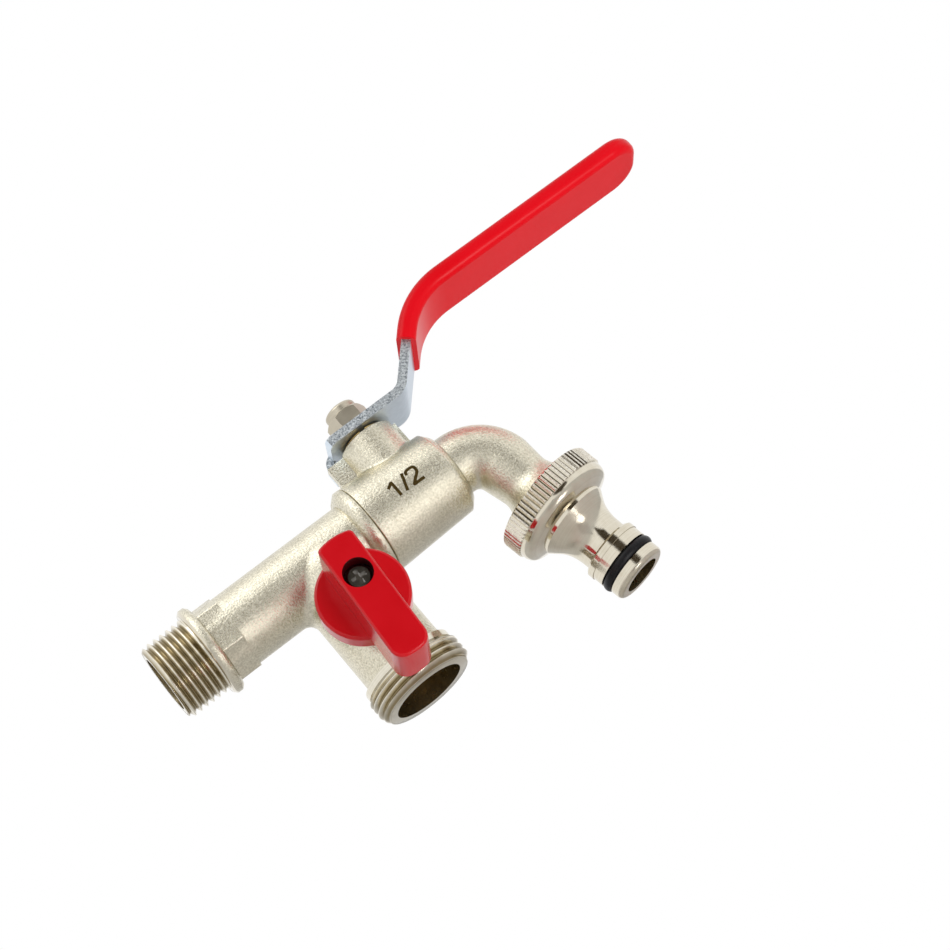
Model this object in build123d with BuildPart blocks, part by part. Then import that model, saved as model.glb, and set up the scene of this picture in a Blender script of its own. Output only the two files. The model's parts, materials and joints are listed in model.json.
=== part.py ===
from build123d import *
import os
from math import cos, pi, radians, sin, sqrt

# Dual outlet garden tap, in millimetres.
# The origin is the middle of the inlet flange's wall face.
# +X runs along the pipe to the spout, +Z is up and the side handle faces -Y.

# Clearances
running_gap = 0.05
thread_gap = 0.02
joint_gap = 0.10
stop_gap = 0.40
lever_gap = 0.40
handle_gap = 0.50
chamber_gap = 0.60
shoulder_gap = 0.60
tang_gap = 0.40

# Inlet with a half-inch pipe thread
inlet_thread_d = 20.955
inlet_thread_len = 12.0
inlet_chamfer = 0.7
inlet_bore_d = 15.0
flange_lip = 1.82
flange_t = 3.0
flange_bevel = 0.8
hex_inset = 0.25
hex_len = 6.0
hex_round = 0.8

# Pipe and its screwed joint with the spout body
tube_wall = 2.25
branch_x = 36.06
collar_lap = 0.26
collar_len = 3.7
collar_bevel = 1.8
seam_chamfer = 0.35
nose_wall = 2.36
nose_len = 9.36

# Main ball valve in its housing
main_ball_d = 16.0
main_bore_d = 10.0
main_tang_w = 3.2
slot_web = 0.85
housing_wall = 2.7
housing_back = 3.9
housing_taper = 1.0
housing_bevel = 1.8

# Seats of both valves, as shares of their ball's radius
seat_inner_share = 0.65
seat_outer_share = 0.94
seat_front_share = 0.58
seat_back_share = 0.95

# Main stem, packing, neck and stop lugs
stem_thread_d = 6.0
stem_flat = 0.5
stem_step = 0.5
stem_proud = 0.3
main_shoulder_lip = 1.1
main_shoulder_t = 1.8
thrust_washer_t = 1.0
neck_web = 1.8
packing_wall = 1.7
packing_t = 3.0
gland_len = 3.1
gland_flange = 1.0
gland_slot = 1.6
neck_wall = 2.6
neck_bevel = 0.3
neck_fillet = 1.2
lug_w = 3.0
lug_lip = 0.6
lug_drop = 0.6

# Lever bent from strip, measured along its middle
lever_t = 2.4
lever_w = 17.0
lever_lift = 1.2
lever_rear_run = 1.6
lever_flat_run = 14.0
lever_rise_run = 18.0
lever_rise = 19.2
lever_grip_run = 72.1
lever_drop = 0.4
lever_bend_r = 5.0
lever_grip_bend_r = 22.0
lever_tip_r = 6.5
lever_rear_r = 2.5
tab_w = 4.0
tab_shift = 3.4
tab_drop = 4.4
grip_wall = 1.35
grip_start_rise = 10.0
grip_round = 2.1

# Self-locking nut on the lever
nut_af = 10.0
nut_hex_h = 5.4
nut_collar_inset = 0.6
nut_collar_h = 2.3
nut_collar_round = 0.9
nut_corner = 0.9

# Gooseneck spout with its three-quarter inch end
spout_bore_d = 10.0
spout_wall = 3.1
spout_end_wall = 2.2
spout_stub = 1.9
spout_inner_bend = 1.4
spout_lean = 9.4
spout_run = 12.6
spout_flare_len = 4.4
spout_flare_wall = 5.6
spout_flare_round = 6.0
spout_inset = 0.3
hose_thread_d = 26.441
spout_thread_len = 5.9

# Click-on hose connector, along its own axis from the knurled end
ring_wall = 2.03
knurl_count = 72
knurl_depth = 0.55
knurl_len = 5.6
knurl_edge = 0.5
shoulder_step = 0.5
shoulder_len = 2.2
washer_t = 1.8
washer_inset = 0.4
cup_floor = 2.6
shoulder_round = 3.0
connector_bore_d = 10.2
plug_neck_wall = 1.75
plug_neck_len = 9.7
hub_step = 3.35
hub_len = 0.9
scoop_len = 2.4
scoop_round = 4.0
ridge_len = 2.0
ridge_lip = 0.2
ridge_chamfer = 0.5
plug_len = 2.8
groove_wall = 0.75
groove_side = 0.2
o_ring_section = 2.5
o_ring_proud = 0.3
o_ring_crown = 0.65
tip_len = 3.1
tip_step = 0.2
tip_round = 1.2

# Side branch with its ball valve and three-quarter inch outlet
side_ball_d = 13.0
side_bore_d = 8.0
side_tang_w = 2.8
side_drop = 18.4
branch_wall = 3.9
dome_drop = 4.0
crotch_fillet = 3.0
retainer_step = 0.9
retainer_len = 6.6
socket_af = 10.0
socket_depth = 2.6
outlet_step = 1.5
outlet_recess = 4.0
outlet_ring_lip = 1.5
outlet_ring_len = 1.6
outlet_groove_lip = 0.7
outlet_groove_len = 1.0
outlet_thread_len = 5.9
outlet_chamfer = 0.8

# Side stem, along its own axis from the ball's centre
screw_d = 3.5
screw_len = 9.0
screw_wall = 0.55
side_flat = 0.7
side_drive_len = 6.9
side_shoulder_lip = 0.8
side_shoulder_t = 1.4
side_seal_depth = 0.7
side_seal_t = 1.4
side_seal_setback = 1.4
boss_wall = 3.2
boss_web = 3.8

# Wing handle, left a little short of the fully open position
handle_turn = 3.5
disc_d = 23.2
disc_t = 5.0
disc_round = 0.8
bar_h = 14.0
bar_root = 0.7
bar_up = 10.8
bar_down = 23.5
bar_end_bow = 0.9
bar_round = 0.7
bar_foot_bow = 0.8
bar_corner = 1.3
bar_foot_corner = 3.4
bar_wall = 1.8
pocket_land = 1.6
recess_d = 7.4
recess_wall = 1.15
recess_depth = 5.0
recess_web = 1.6
head_gap = 0.6
head_h = 2.0
head_bevel = 0.5
cross_len = 3.8
cross_w = 1.1
cross_depth = 1.2

# Side valve and branch
side_r = side_ball_d / 2
side_bore_r = side_bore_d / 2
side_chamber_r = side_r + chamber_gap
side_pocket_r = seat_outer_share * side_r + thread_gap
side_pocket_front = seat_front_share * side_r
side_pocket_back = seat_back_share * side_r
side_slot_floor = side_bore_r + slot_web
retainer_r = side_chamber_r + retainer_step
outlet_bore_r = retainer_r + outlet_step
branch_r = side_chamber_r + branch_wall

# Side stem and handle
tapped_r = screw_d / 2 + thread_gap
side_drive_af = screw_d + 2 * screw_wall
side_stem_r = side_drive_af / 2 + side_flat
side_stem_hole_r = side_stem_r + running_gap
side_shoulder_r = side_stem_r + side_shoulder_lip
side_shoulder_top = side_r + shoulder_gap + side_shoulder_t
side_tang_r = min(side_shoulder_r, side_pocket_front - tang_gap)
side_washer_low = side_shoulder_top + joint_gap
side_inner_face = side_washer_low + thrust_washer_t
side_seal_r = side_stem_r - side_seal_depth
side_seal_low = side_inner_face + side_seal_setback
side_seal_high = side_seal_low + side_seal_t
boss_r = side_stem_r + boss_wall
boss_top = side_inner_face + boss_web
disc_rear = boss_top + handle_gap
disc_front = disc_rear + disc_t
bar_under = disc_front - bar_root
bar_top = disc_front + bar_h
bar_w = recess_d + 2 * recess_wall
recess_floor = bar_top - recess_depth
side_stem_end = recess_floor - recess_web
side_drive_low = side_stem_end - side_drive_len
screw_tip = recess_floor - screw_len
screw_head_r = recess_d / 2 - head_gap
screw_head_top = recess_floor + head_h

# Outlet below the side valve, its retainer clear of the stem's shoulder
retainer_top = -side_drop - max(side_pocket_front, side_shoulder_r + shoulder_gap)
retainer_low = retainer_top - retainer_len
branch_low = retainer_low - outlet_recess
outlet_ring_low = branch_low - outlet_ring_len
outlet_groove_low = outlet_ring_low - outlet_groove_len
outlet_end_z = outlet_groove_low - outlet_thread_len
outlet_thread_r = hose_thread_d / 2

# Pipe, main valve and housing
main_r = main_ball_d / 2
main_bore_r = main_bore_d / 2
main_chamber_r = main_r + chamber_gap
main_pocket_r = seat_outer_share * main_r + thread_gap
main_pocket_front = seat_front_share * main_r
main_pocket_back = seat_back_share * main_r
main_slot_floor = main_bore_r + slot_web
inlet_bore_r = inlet_bore_d / 2
thread_r = inlet_thread_d / 2
flange_r = thread_r + flange_lip
tube_r = inlet_bore_r + tube_wall
nose_r = main_pocket_r + nose_wall
collar_r = nose_r + housing_wall
collar_x = branch_x + branch_r - collar_lap
seam_x = collar_x + collar_len
nose_end_x = seam_x + nose_len
main_x = nose_end_x + main_pocket_front
main_seat_x = main_x - main_pocket_back
spout_seat_x = main_x + main_pocket_back
housing_end_x = spout_seat_x + housing_back
housing_end_r = collar_r - housing_taper

# Main stem, neck and lever
stem_thread_r = stem_thread_d / 2
stem_drive_af = stem_thread_d - 2 * stem_flat
main_stem_r = stem_thread_r + stem_step
main_stem_hole_r = main_stem_r + running_gap
main_shoulder_r = main_stem_r + main_shoulder_lip
main_shoulder_top = main_r + shoulder_gap + main_shoulder_t
main_tang_r = min(main_shoulder_r, main_pocket_front - tang_gap)
main_washer_low = main_shoulder_top + joint_gap
main_inner_face = main_washer_low + thrust_washer_t
packing_r = main_stem_r + packing_wall
packing_low = main_inner_face + neck_web
packing_high = packing_low + packing_t
neck_r = packing_r + neck_wall
neck_top = packing_high + gland_len
lever_under = neck_top + lever_lift
lever_mid = lever_under + lever_t / 2
lever_top = lever_under + lever_t
gland_top = lever_under - lever_gap
gland_flange_r = packing_r + gland_flange
lug_top = neck_top - lug_drop
lever_rear = neck_r + lever_rear_run
lug_reach = lever_rear + lever_t + lug_lip
tab_low = lever_under - tab_drop
tab_half = tab_w / 2
nut_bore_r = stem_thread_r + thread_gap
nut_corner_r = nut_af / sqrt(3)
nut_collar_low = lever_top + nut_hex_h
nut_collar_r = nut_af / 2 - nut_collar_inset
nut_top = nut_collar_low + nut_collar_h

# Spout and hose connector
spout_bore_r = spout_bore_d / 2
spout_r = spout_bore_r + spout_wall
spout_end_r = spout_bore_r + spout_end_wall
spout_flare_r = spout_bore_r + spout_flare_wall
spout_bend_r = spout_r + spout_inner_bend
spout_bend_x = housing_end_x + spout_stub
spout_bend_turn = 90 - spout_lean
spout_thread_r = hose_thread_d / 2 - thread_gap
spout_end = spout_inset + spout_thread_len
bore_past_bend = spout_bend_r * 2 / 3
ring_r = hose_thread_d / 2 + ring_wall
cup_len = spout_end + washer_t
shoulder_s = cup_len + cup_floor
hub_s = shoulder_s + hub_len
connector_bore_r = connector_bore_d / 2
plug_neck_r = connector_bore_r + plug_neck_wall
hub_r = plug_neck_r + hub_step
groove_r = connector_bore_r + groove_wall
plug_r = groove_r + o_ring_section - o_ring_proud
ridge_s = hub_s + plug_neck_len
ridge_end = ridge_s + ridge_len
groove_low = ridge_end + plug_len
groove_high = groove_low + o_ring_section + 2 * groove_side
connector_len = groove_high + tip_len
tip_r = plug_r - tip_step


def axis_plane(centre, along, out):
    """Plane whose local X is the radius and whose local Y runs along a turning axis."""
    return Plane(origin=centre, x_dir=out, z_dir=Vector(out).cross(Vector(along)))


def turn(points, plane, rounds=(), bevels=(), mode=Mode.ADD):
    """Revolve an outline of (radius, along) points about the plane's local Y axis.

    Each entry of rounds or bevels is (radius, along, size) at one corner of the outline.
    """
    with BuildSketch(plane) as outline:
        with BuildLine():
            Polyline(*points, close=True)
        make_face()
        for at_r, at_s, corner_r in rounds:
            fillet(outline.vertices().sort_by_distance((at_r, at_s))[0], corner_r)
        for at_r, at_s, corner_l in bevels:
            chamfer(outline.vertices().sort_by_distance((at_r, at_s))[0], corner_l)
    revolve(outline.sketch, axis=Axis(plane.origin, plane.y_dir), mode=mode)


def sleeve(inner_r, outer_r, low, high):
    """Outline of a plain ring between two radii and two places along its axis."""
    return [(inner_r, low), (outer_r, low), (outer_r, high), (inner_r, high)]


def seat_ring(ball_r, plane):
    """Valve seat with a 45 degree cone that the ball runs against."""
    inner = seat_inner_share * ball_r
    outer = seat_outer_share * ball_r
    front = seat_front_share * ball_r
    back = seat_back_share * ball_r
    cone = (ball_r + running_gap) * sqrt(2)
    with BuildPart() as ring:
        turn(
            [(inner, back), (outer, back), (outer, front), (cone - front, front), (inner, cone - inner)],
            plane,
        )
    return ring


def valve_ball(ball_r, bore_r, stem_plane, slot_w, slot_floor):
    """Ball with its waterway along the stem plane's local X and a slot for the stem's tang."""
    with BuildPart() as ball:
        with Locations(stem_plane.origin):
            Sphere(ball_r)
        with BuildSketch(Plane(origin=stem_plane.origin, z_dir=stem_plane.x_dir)) as waterway:
            Circle(bore_r)
        extrude(waterway.sketch, amount=ball_r, both=True, mode=Mode.SUBTRACT)
        with BuildSketch(stem_plane.offset(slot_floor)) as slot:
            Rectangle(slot_w, 2 * ball_r)
        extrude(slot.sketch, amount=ball_r, mode=Mode.SUBTRACT)
    return ball


# Turning axes and the planes square to both stems
lean = radians(spout_lean)
outlet_way = Vector(sin(lean), 0, -cos(lean))
outlet_out = Vector(cos(lean), 0, sin(lean))
bend_centre = Vector(spout_bend_x, 0, -spout_bend_r)
connector_base = bend_centre + outlet_out * spout_bend_r + outlet_way * spout_run
side_centre = Vector(branch_x, 0, -side_drop)
main_centre = Vector(main_x, 0, 0)
handle_up = Vector(sin(radians(handle_turn)), 0, cos(radians(handle_turn)))
pipe_plane = axis_plane((0, 0, 0), (1, 0, 0), (0, 0, 1))
neck_plane = axis_plane(main_centre, (0, 0, 1), (1, 0, 0))
branch_plane = axis_plane((branch_x, 0, 0), (0, 0, 1), (1, 0, 0))
side_stem_plane = axis_plane(side_centre, (0, -1, 0), (1, 0, 0))
outlet_plane = axis_plane(connector_base, outlet_way, outlet_out)
main_top = Plane(origin=main_centre, x_dir=(1, 0, 0), z_dir=(0, 0, 1))
side_front = Plane(origin=side_centre, x_dir=handle_up, z_dir=(0, -1, 0))

# Tee body: inlet, pipe, collar and side branch in one forging
flange_edge = min(flange_bevel, flange_t / 3, flange_lip / 2)
with BuildPart() as tee_body:
    turn(sleeve(0, tube_r, 0, seam_x), pipe_plane)
    with BuildSketch(branch_plane) as branch:
        with BuildLine():
            dome = CenterArc((0, -dome_drop), branch_r, 0, 90)
            Polyline(dome @ 1, (0, branch_low), (branch_r, branch_low), dome @ 0)
        make_face()
    revolve(branch.sketch, axis=Axis(branch_plane.origin, branch_plane.y_dir))
    fillet(tee_body.edges(Select.NEW), crotch_fillet)
    # Inlet thread, flange and wrench hexagon
    turn(
        [
            (0, -inlet_thread_len),
            (thread_r - inlet_chamfer, -inlet_thread_len),
            (thread_r, -inlet_thread_len + inlet_chamfer),
            (thread_r, 0),
            (flange_r, 0),
            (flange_r, flange_t),
            (0, flange_t),
        ],
        pipe_plane,
        bevels=[(flange_r, 0, flange_edge), (flange_r, flange_t, flange_edge)],
    )
    with BuildSketch(Plane.YZ.offset(flange_t / 2)) as wrench:
        RegularPolygon(tube_r - hex_inset, 6, major_radius=False, rotation=30)
        fillet(wrench.vertices(), hex_round)
    extrude(wrench.sketch, amount=flange_t / 2 + hex_len)
    # Collar and the threaded nose that screws into the spout body
    turn(
        [
            (0, collar_x),
            (collar_r, collar_x),
            (collar_r, seam_x - seam_chamfer),
            (collar_r - seam_chamfer, seam_x),
            (nose_r, seam_x),
            (nose_r, nose_end_x - joint_gap),
            (0, nose_end_x - joint_gap),
        ],
        pipe_plane,
        bevels=[(collar_r, collar_x, min(collar_bevel, (collar_r - tube_r) * 0.7))],
    )
    # Boss of the side stem and the threaded outlet below the branch
    with BuildSketch(Plane(origin=side_centre, z_dir=(0, -1, 0))) as boss:
        Circle(boss_r)
    extrude(boss.sketch, amount=boss_top)
    turn(
        [
            (0, branch_low),
            (branch_r + outlet_ring_lip, branch_low),
            (branch_r + outlet_ring_lip, outlet_ring_low),
            (branch_r + outlet_groove_lip, outlet_ring_low),
            (branch_r + outlet_groove_lip, outlet_groove_low),
            (outlet_thread_r, outlet_groove_low),
            (outlet_thread_r, outlet_end_z + outlet_chamfer),
            (outlet_thread_r - outlet_chamfer, outlet_end_z),
            (0, outlet_end_z),
        ],
        branch_plane,
    )
    # Waterway of the pipe, narrowing to the pocket of the inlet seat in its nose
    turn(
        [
            (0, -inlet_thread_len),
            (inlet_bore_r, -inlet_thread_len),
            (inlet_bore_r, collar_x),
            (main_bore_r, seam_x),
            (main_bore_r, main_seat_x),
            (main_pocket_r, main_seat_x),
            (main_pocket_r, nose_end_x),
            (0, nose_end_x),
        ],
        pipe_plane,
        mode=Mode.SUBTRACT,
    )
    # Branch inside: waterway, seat pocket, ball chamber, retainer thread and outlet
    turn(
        [
            (0, 0),
            (side_bore_r, 0),
            (side_bore_r, side_pocket_back - side_drop),
            (side_pocket_r, side_pocket_back - side_drop),
            (side_pocket_r, side_pocket_front - side_drop),
            (side_chamber_r, side_pocket_front - side_drop),
            (side_chamber_r, retainer_top),
            (retainer_r, retainer_top),
            (retainer_r, retainer_low),
            (outlet_bore_r, retainer_low),
            (outlet_bore_r, outlet_end_z),
            (0, outlet_end_z),
        ],
        branch_plane,
        mode=Mode.SUBTRACT,
    )
    # Stem bore through the branch wall and its boss
    turn(
        [
            (0, 0),
            (side_shoulder_r + joint_gap, 0),
            (side_shoulder_r + joint_gap, side_inner_face),
            (side_stem_hole_r, side_inner_face),
            (side_stem_hole_r, boss_top),
            (0, boss_top),
        ],
        side_stem_plane,
        mode=Mode.SUBTRACT,
    )

# Spout body: ball housing, stem neck, stop lugs and gooseneck in one forging
with BuildPart() as spout_body:
    turn(
        [
            (0, seam_x),
            (collar_r - seam_chamfer, seam_x),
            (collar_r, seam_x + seam_chamfer),
            (housing_end_r, housing_end_x),
            (0, housing_end_x),
        ],
        pipe_plane,
        bevels=[(housing_end_r, housing_end_x, housing_bevel)],
    )
    with BuildSketch(main_top) as neck:
        Circle(neck_r)
    extrude(neck.sketch, amount=neck_top)
    fillet(spout_body.edges(Select.NEW), neck_fillet)
    chamfer(spout_body.edges().group_by(Axis.Z)[-1], neck_bevel)
    # Stop lugs on either side of the path of the lever's tab
    with BuildSketch(main_top) as lugs:
        with Locations((-lug_reach / 2, tab_shift - tab_half - stop_gap - lug_w / 2)):
            Rectangle(lug_reach, lug_w)
        with Locations((tab_shift + tab_half + stop_gap + lug_w / 2, lug_reach / 2)):
            Rectangle(lug_w, lug_reach)
    extrude(lugs.sketch, amount=lug_top)
    # Gooseneck: short stub, bend and a tapering end with its thread
    with BuildSketch(Plane.YZ.offset(housing_end_x - housing_bevel)) as stub:
        Circle(spout_r)
    extrude(stub.sketch, amount=spout_stub + housing_bevel)
    bend_axis = Axis(bend_centre, (0, 1, 0))
    with BuildSketch(Plane.YZ.offset(spout_bend_x)) as bend:
        Circle(spout_r)
    revolve(bend.sketch, axis=bend_axis, revolution_arc=spout_bend_turn)
    turn(
        [
            (0, -spout_run),
            (spout_r, -spout_run),
            (spout_end_r, -spout_flare_len),
            (spout_flare_r, spout_inset),
            (spout_thread_r, spout_inset),
            (spout_thread_r, spout_end),
            (0, spout_end),
        ],
        outlet_plane,
        rounds=[(spout_end_r, -spout_flare_len, spout_flare_round)],
    )
    # Housing inside: thread of the pipe's nose, ball chamber, seat pocket and waterway
    turn(
        [
            (0, seam_x),
            (nose_r + thread_gap, seam_x),
            (nose_r + thread_gap, nose_end_x),
            (main_chamber_r, nose_end_x),
            (main_chamber_r, main_x + main_pocket_front),
            (main_pocket_r, main_x + main_pocket_front),
            (main_pocket_r, spout_seat_x),
            (spout_bore_r, spout_seat_x),
            (spout_bore_r, spout_bend_x + bore_past_bend),
            (0, spout_bend_x + bore_past_bend),
        ],
        pipe_plane,
        mode=Mode.SUBTRACT,
    )
    turn(
        sleeve(0, spout_bore_r, -spout_run - bore_past_bend, spout_end),
        outlet_plane,
        mode=Mode.SUBTRACT,
    )
    # Neck inside: room for the stem's shoulder, stem bore and packing box
    turn(
        [
            (0, 0),
            (main_shoulder_r + joint_gap, 0),
            (main_shoulder_r + joint_gap, main_inner_face),
            (main_stem_hole_r, main_inner_face),
            (main_stem_hole_r, packing_low),
            (packing_r, packing_low),
            (packing_r, neck_top),
            (0, neck_top),
        ],
        neck_plane,
        mode=Mode.SUBTRACT,
    )

# Main valve: ball and seats
main_ball = valve_ball(main_r, main_bore_r, main_top, main_tang_w + 2 * joint_gap, main_slot_floor)
main_seat_inlet = seat_ring(main_r, axis_plane(main_centre, (-1, 0, 0), (0, 0, 1)))
main_seat_outlet = seat_ring(main_r, axis_plane(main_centre, (1, 0, 0), (0, 0, 1)))

# Main stem: tang, shoulder, shaft, flats for the lever and thread for the nut
with BuildPart() as main_stem:
    with BuildSketch(main_top.offset(main_slot_floor + joint_gap)) as tang:
        Circle(main_tang_r)
        Rectangle(main_tang_w, 2 * main_tang_r, mode=Mode.INTERSECT)
    extrude(tang.sketch, amount=main_shoulder_top - main_slot_floor - joint_gap)
    turn(
        [
            (0, main_shoulder_top - main_shoulder_t),
            (main_shoulder_r, main_shoulder_top - main_shoulder_t),
            (main_shoulder_r, main_shoulder_top),
            (main_stem_r, main_shoulder_top),
            (main_stem_r, lever_under),
            (stem_thread_r, lever_under),
            (stem_thread_r, nut_top + stem_proud),
            (0, nut_top + stem_proud),
        ],
        neck_plane,
    )
    with BuildSketch(main_top.offset(lever_under)) as flats:
        Circle(main_stem_r)
        Rectangle(2 * main_stem_r, stem_drive_af, mode=Mode.SUBTRACT)
    extrude(flats.sketch, amount=lever_t, mode=Mode.SUBTRACT)

with BuildPart() as main_thrust_washer:
    turn(sleeve(main_stem_hole_r, main_shoulder_r, main_washer_low, main_inner_face), neck_plane)

with BuildPart() as main_packing:
    turn(sleeve(main_stem_hole_r, packing_r, packing_low, packing_high), neck_plane)

with BuildPart() as gland_nut:
    turn(
        [
            (main_stem_hole_r, packing_high),
            (packing_r - thread_gap, packing_high),
            (packing_r - thread_gap, neck_top),
            (gland_flange_r, neck_top),
            (gland_flange_r, gland_top),
            (main_stem_hole_r, gland_top),
        ],
        neck_plane,
    )
    with BuildSketch(main_top.offset(neck_top - gland_slot / 2)) as key_slot:
        Rectangle(gland_slot, 2 * gland_flange_r)
    extrude(key_slot.sketch, amount=2 * gland_slot, mode=Mode.SUBTRACT)

# Lever: strip bent in profile, with rounded corners and a stop tab at its rear
rear_x = main_x - lever_rear
first_bend = (main_x + lever_flat_run, lever_mid)
second_bend = (first_bend[0] + lever_rise_run, lever_mid + lever_rise)
lever_tip = (second_bend[0] + lever_grip_run, second_bend[1] - lever_drop)
with BuildPart() as lever:
    with BuildSketch(Plane.XZ) as strip:
        with BuildLine():
            FilletPolyline(
                (rear_x, lever_mid),
                first_bend,
                second_bend,
                lever_tip,
                radius=[lever_bend_r, lever_grip_bend_r],
            )
        trace(line_width=lever_t)
    extrude(strip.sketch, amount=lever_w / 2, both=True)
    corners = lever.edges().filter_by(Axis.Z, tolerance=5).sort_by(Axis.X)
    fillet(corners[:2], lever_rear_r)
    fillet(corners[2:], lever_tip_r)
    with BuildSketch(Plane.XZ.offset(-tab_shift)) as tab:
        with BuildLine():
            FilletPolyline(
                (main_x - neck_r, lever_mid),
                (rear_x - lever_t / 2, lever_mid),
                (rear_x - lever_t / 2, tab_low),
                radius=lever_t,
            )
        trace(line_width=lever_t)
    extrude(tab.sketch, amount=tab_half, both=True)
    with BuildSketch(main_top.offset(lever_under)) as drive:
        Circle(stem_thread_r + thread_gap)
        Rectangle(2 * (stem_thread_r + thread_gap), stem_drive_af + 2 * thread_gap, mode=Mode.INTERSECT)
    extrude(drive.sketch, amount=lever_t, mode=Mode.SUBTRACT)

# Dipped grip: a rounded blade over the lever's end and the same section swept down past the bend
rise_share = grip_start_rise / lever_rise
grip_start = (first_bend[0] + lever_rise_run * rise_share, lever_mid + grip_start_rise)
grip_w = lever_w + 2 * grip_wall
grip_t = lever_t + 2 * grip_wall
grip_way = (Vector(lever_tip) - Vector(second_bend)).normalized()
grip_joint = Vector(second_bend) + grip_way * lever_grip_bend_r
blade_len = 2 * (Vector(lever_tip) - grip_joint).length + 2 * grip_wall
joint_point = (grip_joint.X, 0, grip_joint.Y)
grip_along = (grip_way.X, 0, grip_way.Y)
blade_plane = Plane(origin=joint_point, x_dir=(0, 1, 0), z_dir=(-grip_way.Y, 0, grip_way.X))
with BuildPart() as lever_grip:
    with BuildSketch(blade_plane) as blade:
        RectangleRounded(grip_w, blade_len, lever_tip_r + grip_wall)
    extrude(blade.sketch, amount=grip_t / 2, both=True)
    for side in lever_grip.faces().sort_by(SortBy.AREA)[-2:]:
        fillet(side.edges(), grip_round)
    split(bisect_by=Plane(origin=joint_point, z_dir=grip_along), keep=Keep.TOP)
    with BuildLine(Plane.XZ) as grip_path:
        FilletPolyline(grip_start, second_bend, (grip_joint.X, grip_joint.Y), radius=lever_grip_bend_r)
    grip_wire = grip_path.wires()[0]
    with BuildSketch(Plane(origin=grip_wire @ 0, x_dir=(0, 1, 0), z_dir=grip_wire % 0)) as section:
        RectangleRounded(grip_w, grip_t, grip_round)
    sweep(section.sketch, path=grip_wire)
    add(lever.part, mode=Mode.SUBTRACT)

with BuildPart() as lever_nut:
    with BuildSketch(main_top.offset(lever_top)) as hexagon:
        RegularPolygon(nut_af / 2, 6, major_radius=False)
        Circle(nut_bore_r, mode=Mode.SUBTRACT)
    extrude(hexagon.sketch, amount=nut_hex_h)
    turn(
        sleeve(0, nut_corner_r, lever_top, nut_collar_low),
        neck_plane,
        bevels=[(nut_corner_r, nut_collar_low, nut_corner)],
        mode=Mode.INTERSECT,
    )
    turn(
        sleeve(nut_bore_r, nut_collar_r, nut_collar_low, nut_top),
        neck_plane,
        rounds=[(nut_collar_r, nut_top, nut_collar_round)],
    )

# Side valve: ball, seats and the screwed retainer with its key socket
side_ball = valve_ball(side_r, side_bore_r, side_front, side_tang_w + 2 * joint_gap, side_slot_floor)
side_seat_inner = seat_ring(side_r, axis_plane(side_centre, (0, 0, 1), (1, 0, 0)))
side_seat_outer = seat_ring(side_r, axis_plane(side_centre, (0, 0, -1), (1, 0, 0)))

with BuildPart() as side_retainer:
    turn(
        [
            (side_bore_r, retainer_low),
            (retainer_r - thread_gap, retainer_low),
            (retainer_r - thread_gap, retainer_top),
            (side_pocket_r, retainer_top),
            (side_pocket_r, -side_drop - side_pocket_back),
            (side_bore_r, -side_drop - side_pocket_back),
        ],
        branch_plane,
    )
    with BuildSketch(Plane(origin=(branch_x, 0, retainer_low))) as key_socket:
        RegularPolygon(socket_af / 2, 6, major_radius=False)
    extrude(key_socket.sketch, amount=socket_depth, mode=Mode.SUBTRACT)

# Side stem: tang, shoulder, sealed shaft, flats and tapped end
with BuildPart() as side_stem:
    with BuildSketch(side_front.offset(side_slot_floor + joint_gap)) as side_tang:
        Circle(side_tang_r)
        Rectangle(side_tang_w, 2 * side_tang_r, mode=Mode.INTERSECT)
    extrude(side_tang.sketch, amount=side_shoulder_top - side_slot_floor - joint_gap)
    turn(
        [
            (0, side_shoulder_top - side_shoulder_t),
            (side_shoulder_r, side_shoulder_top - side_shoulder_t),
            (side_shoulder_r, side_shoulder_top),
            (side_stem_r, side_shoulder_top),
            (side_stem_r, side_seal_low),
            (side_seal_r, side_seal_low),
            (side_seal_r, side_seal_high),
            (side_stem_r, side_seal_high),
            (side_stem_r, side_stem_end),
            (0, side_stem_end),
        ],
        side_stem_plane,
    )
    with BuildSketch(side_front.offset(side_drive_low)) as side_flats:
        Circle(side_stem_r)
        Rectangle(2 * side_stem_r, side_drive_af, mode=Mode.SUBTRACT)
    extrude(side_flats.sketch, amount=side_drive_len, mode=Mode.SUBTRACT)
    turn(sleeve(0, tapped_r, screw_tip, side_stem_end), side_stem_plane, mode=Mode.SUBTRACT)

with BuildPart() as side_thrust_washer:
    turn(sleeve(side_stem_hole_r, side_shoulder_r, side_washer_low, side_inner_face), side_stem_plane)

with BuildPart() as side_stem_seal:
    turn(sleeve(side_seal_r, side_stem_r, side_seal_low, side_seal_high), side_stem_plane)

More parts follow.
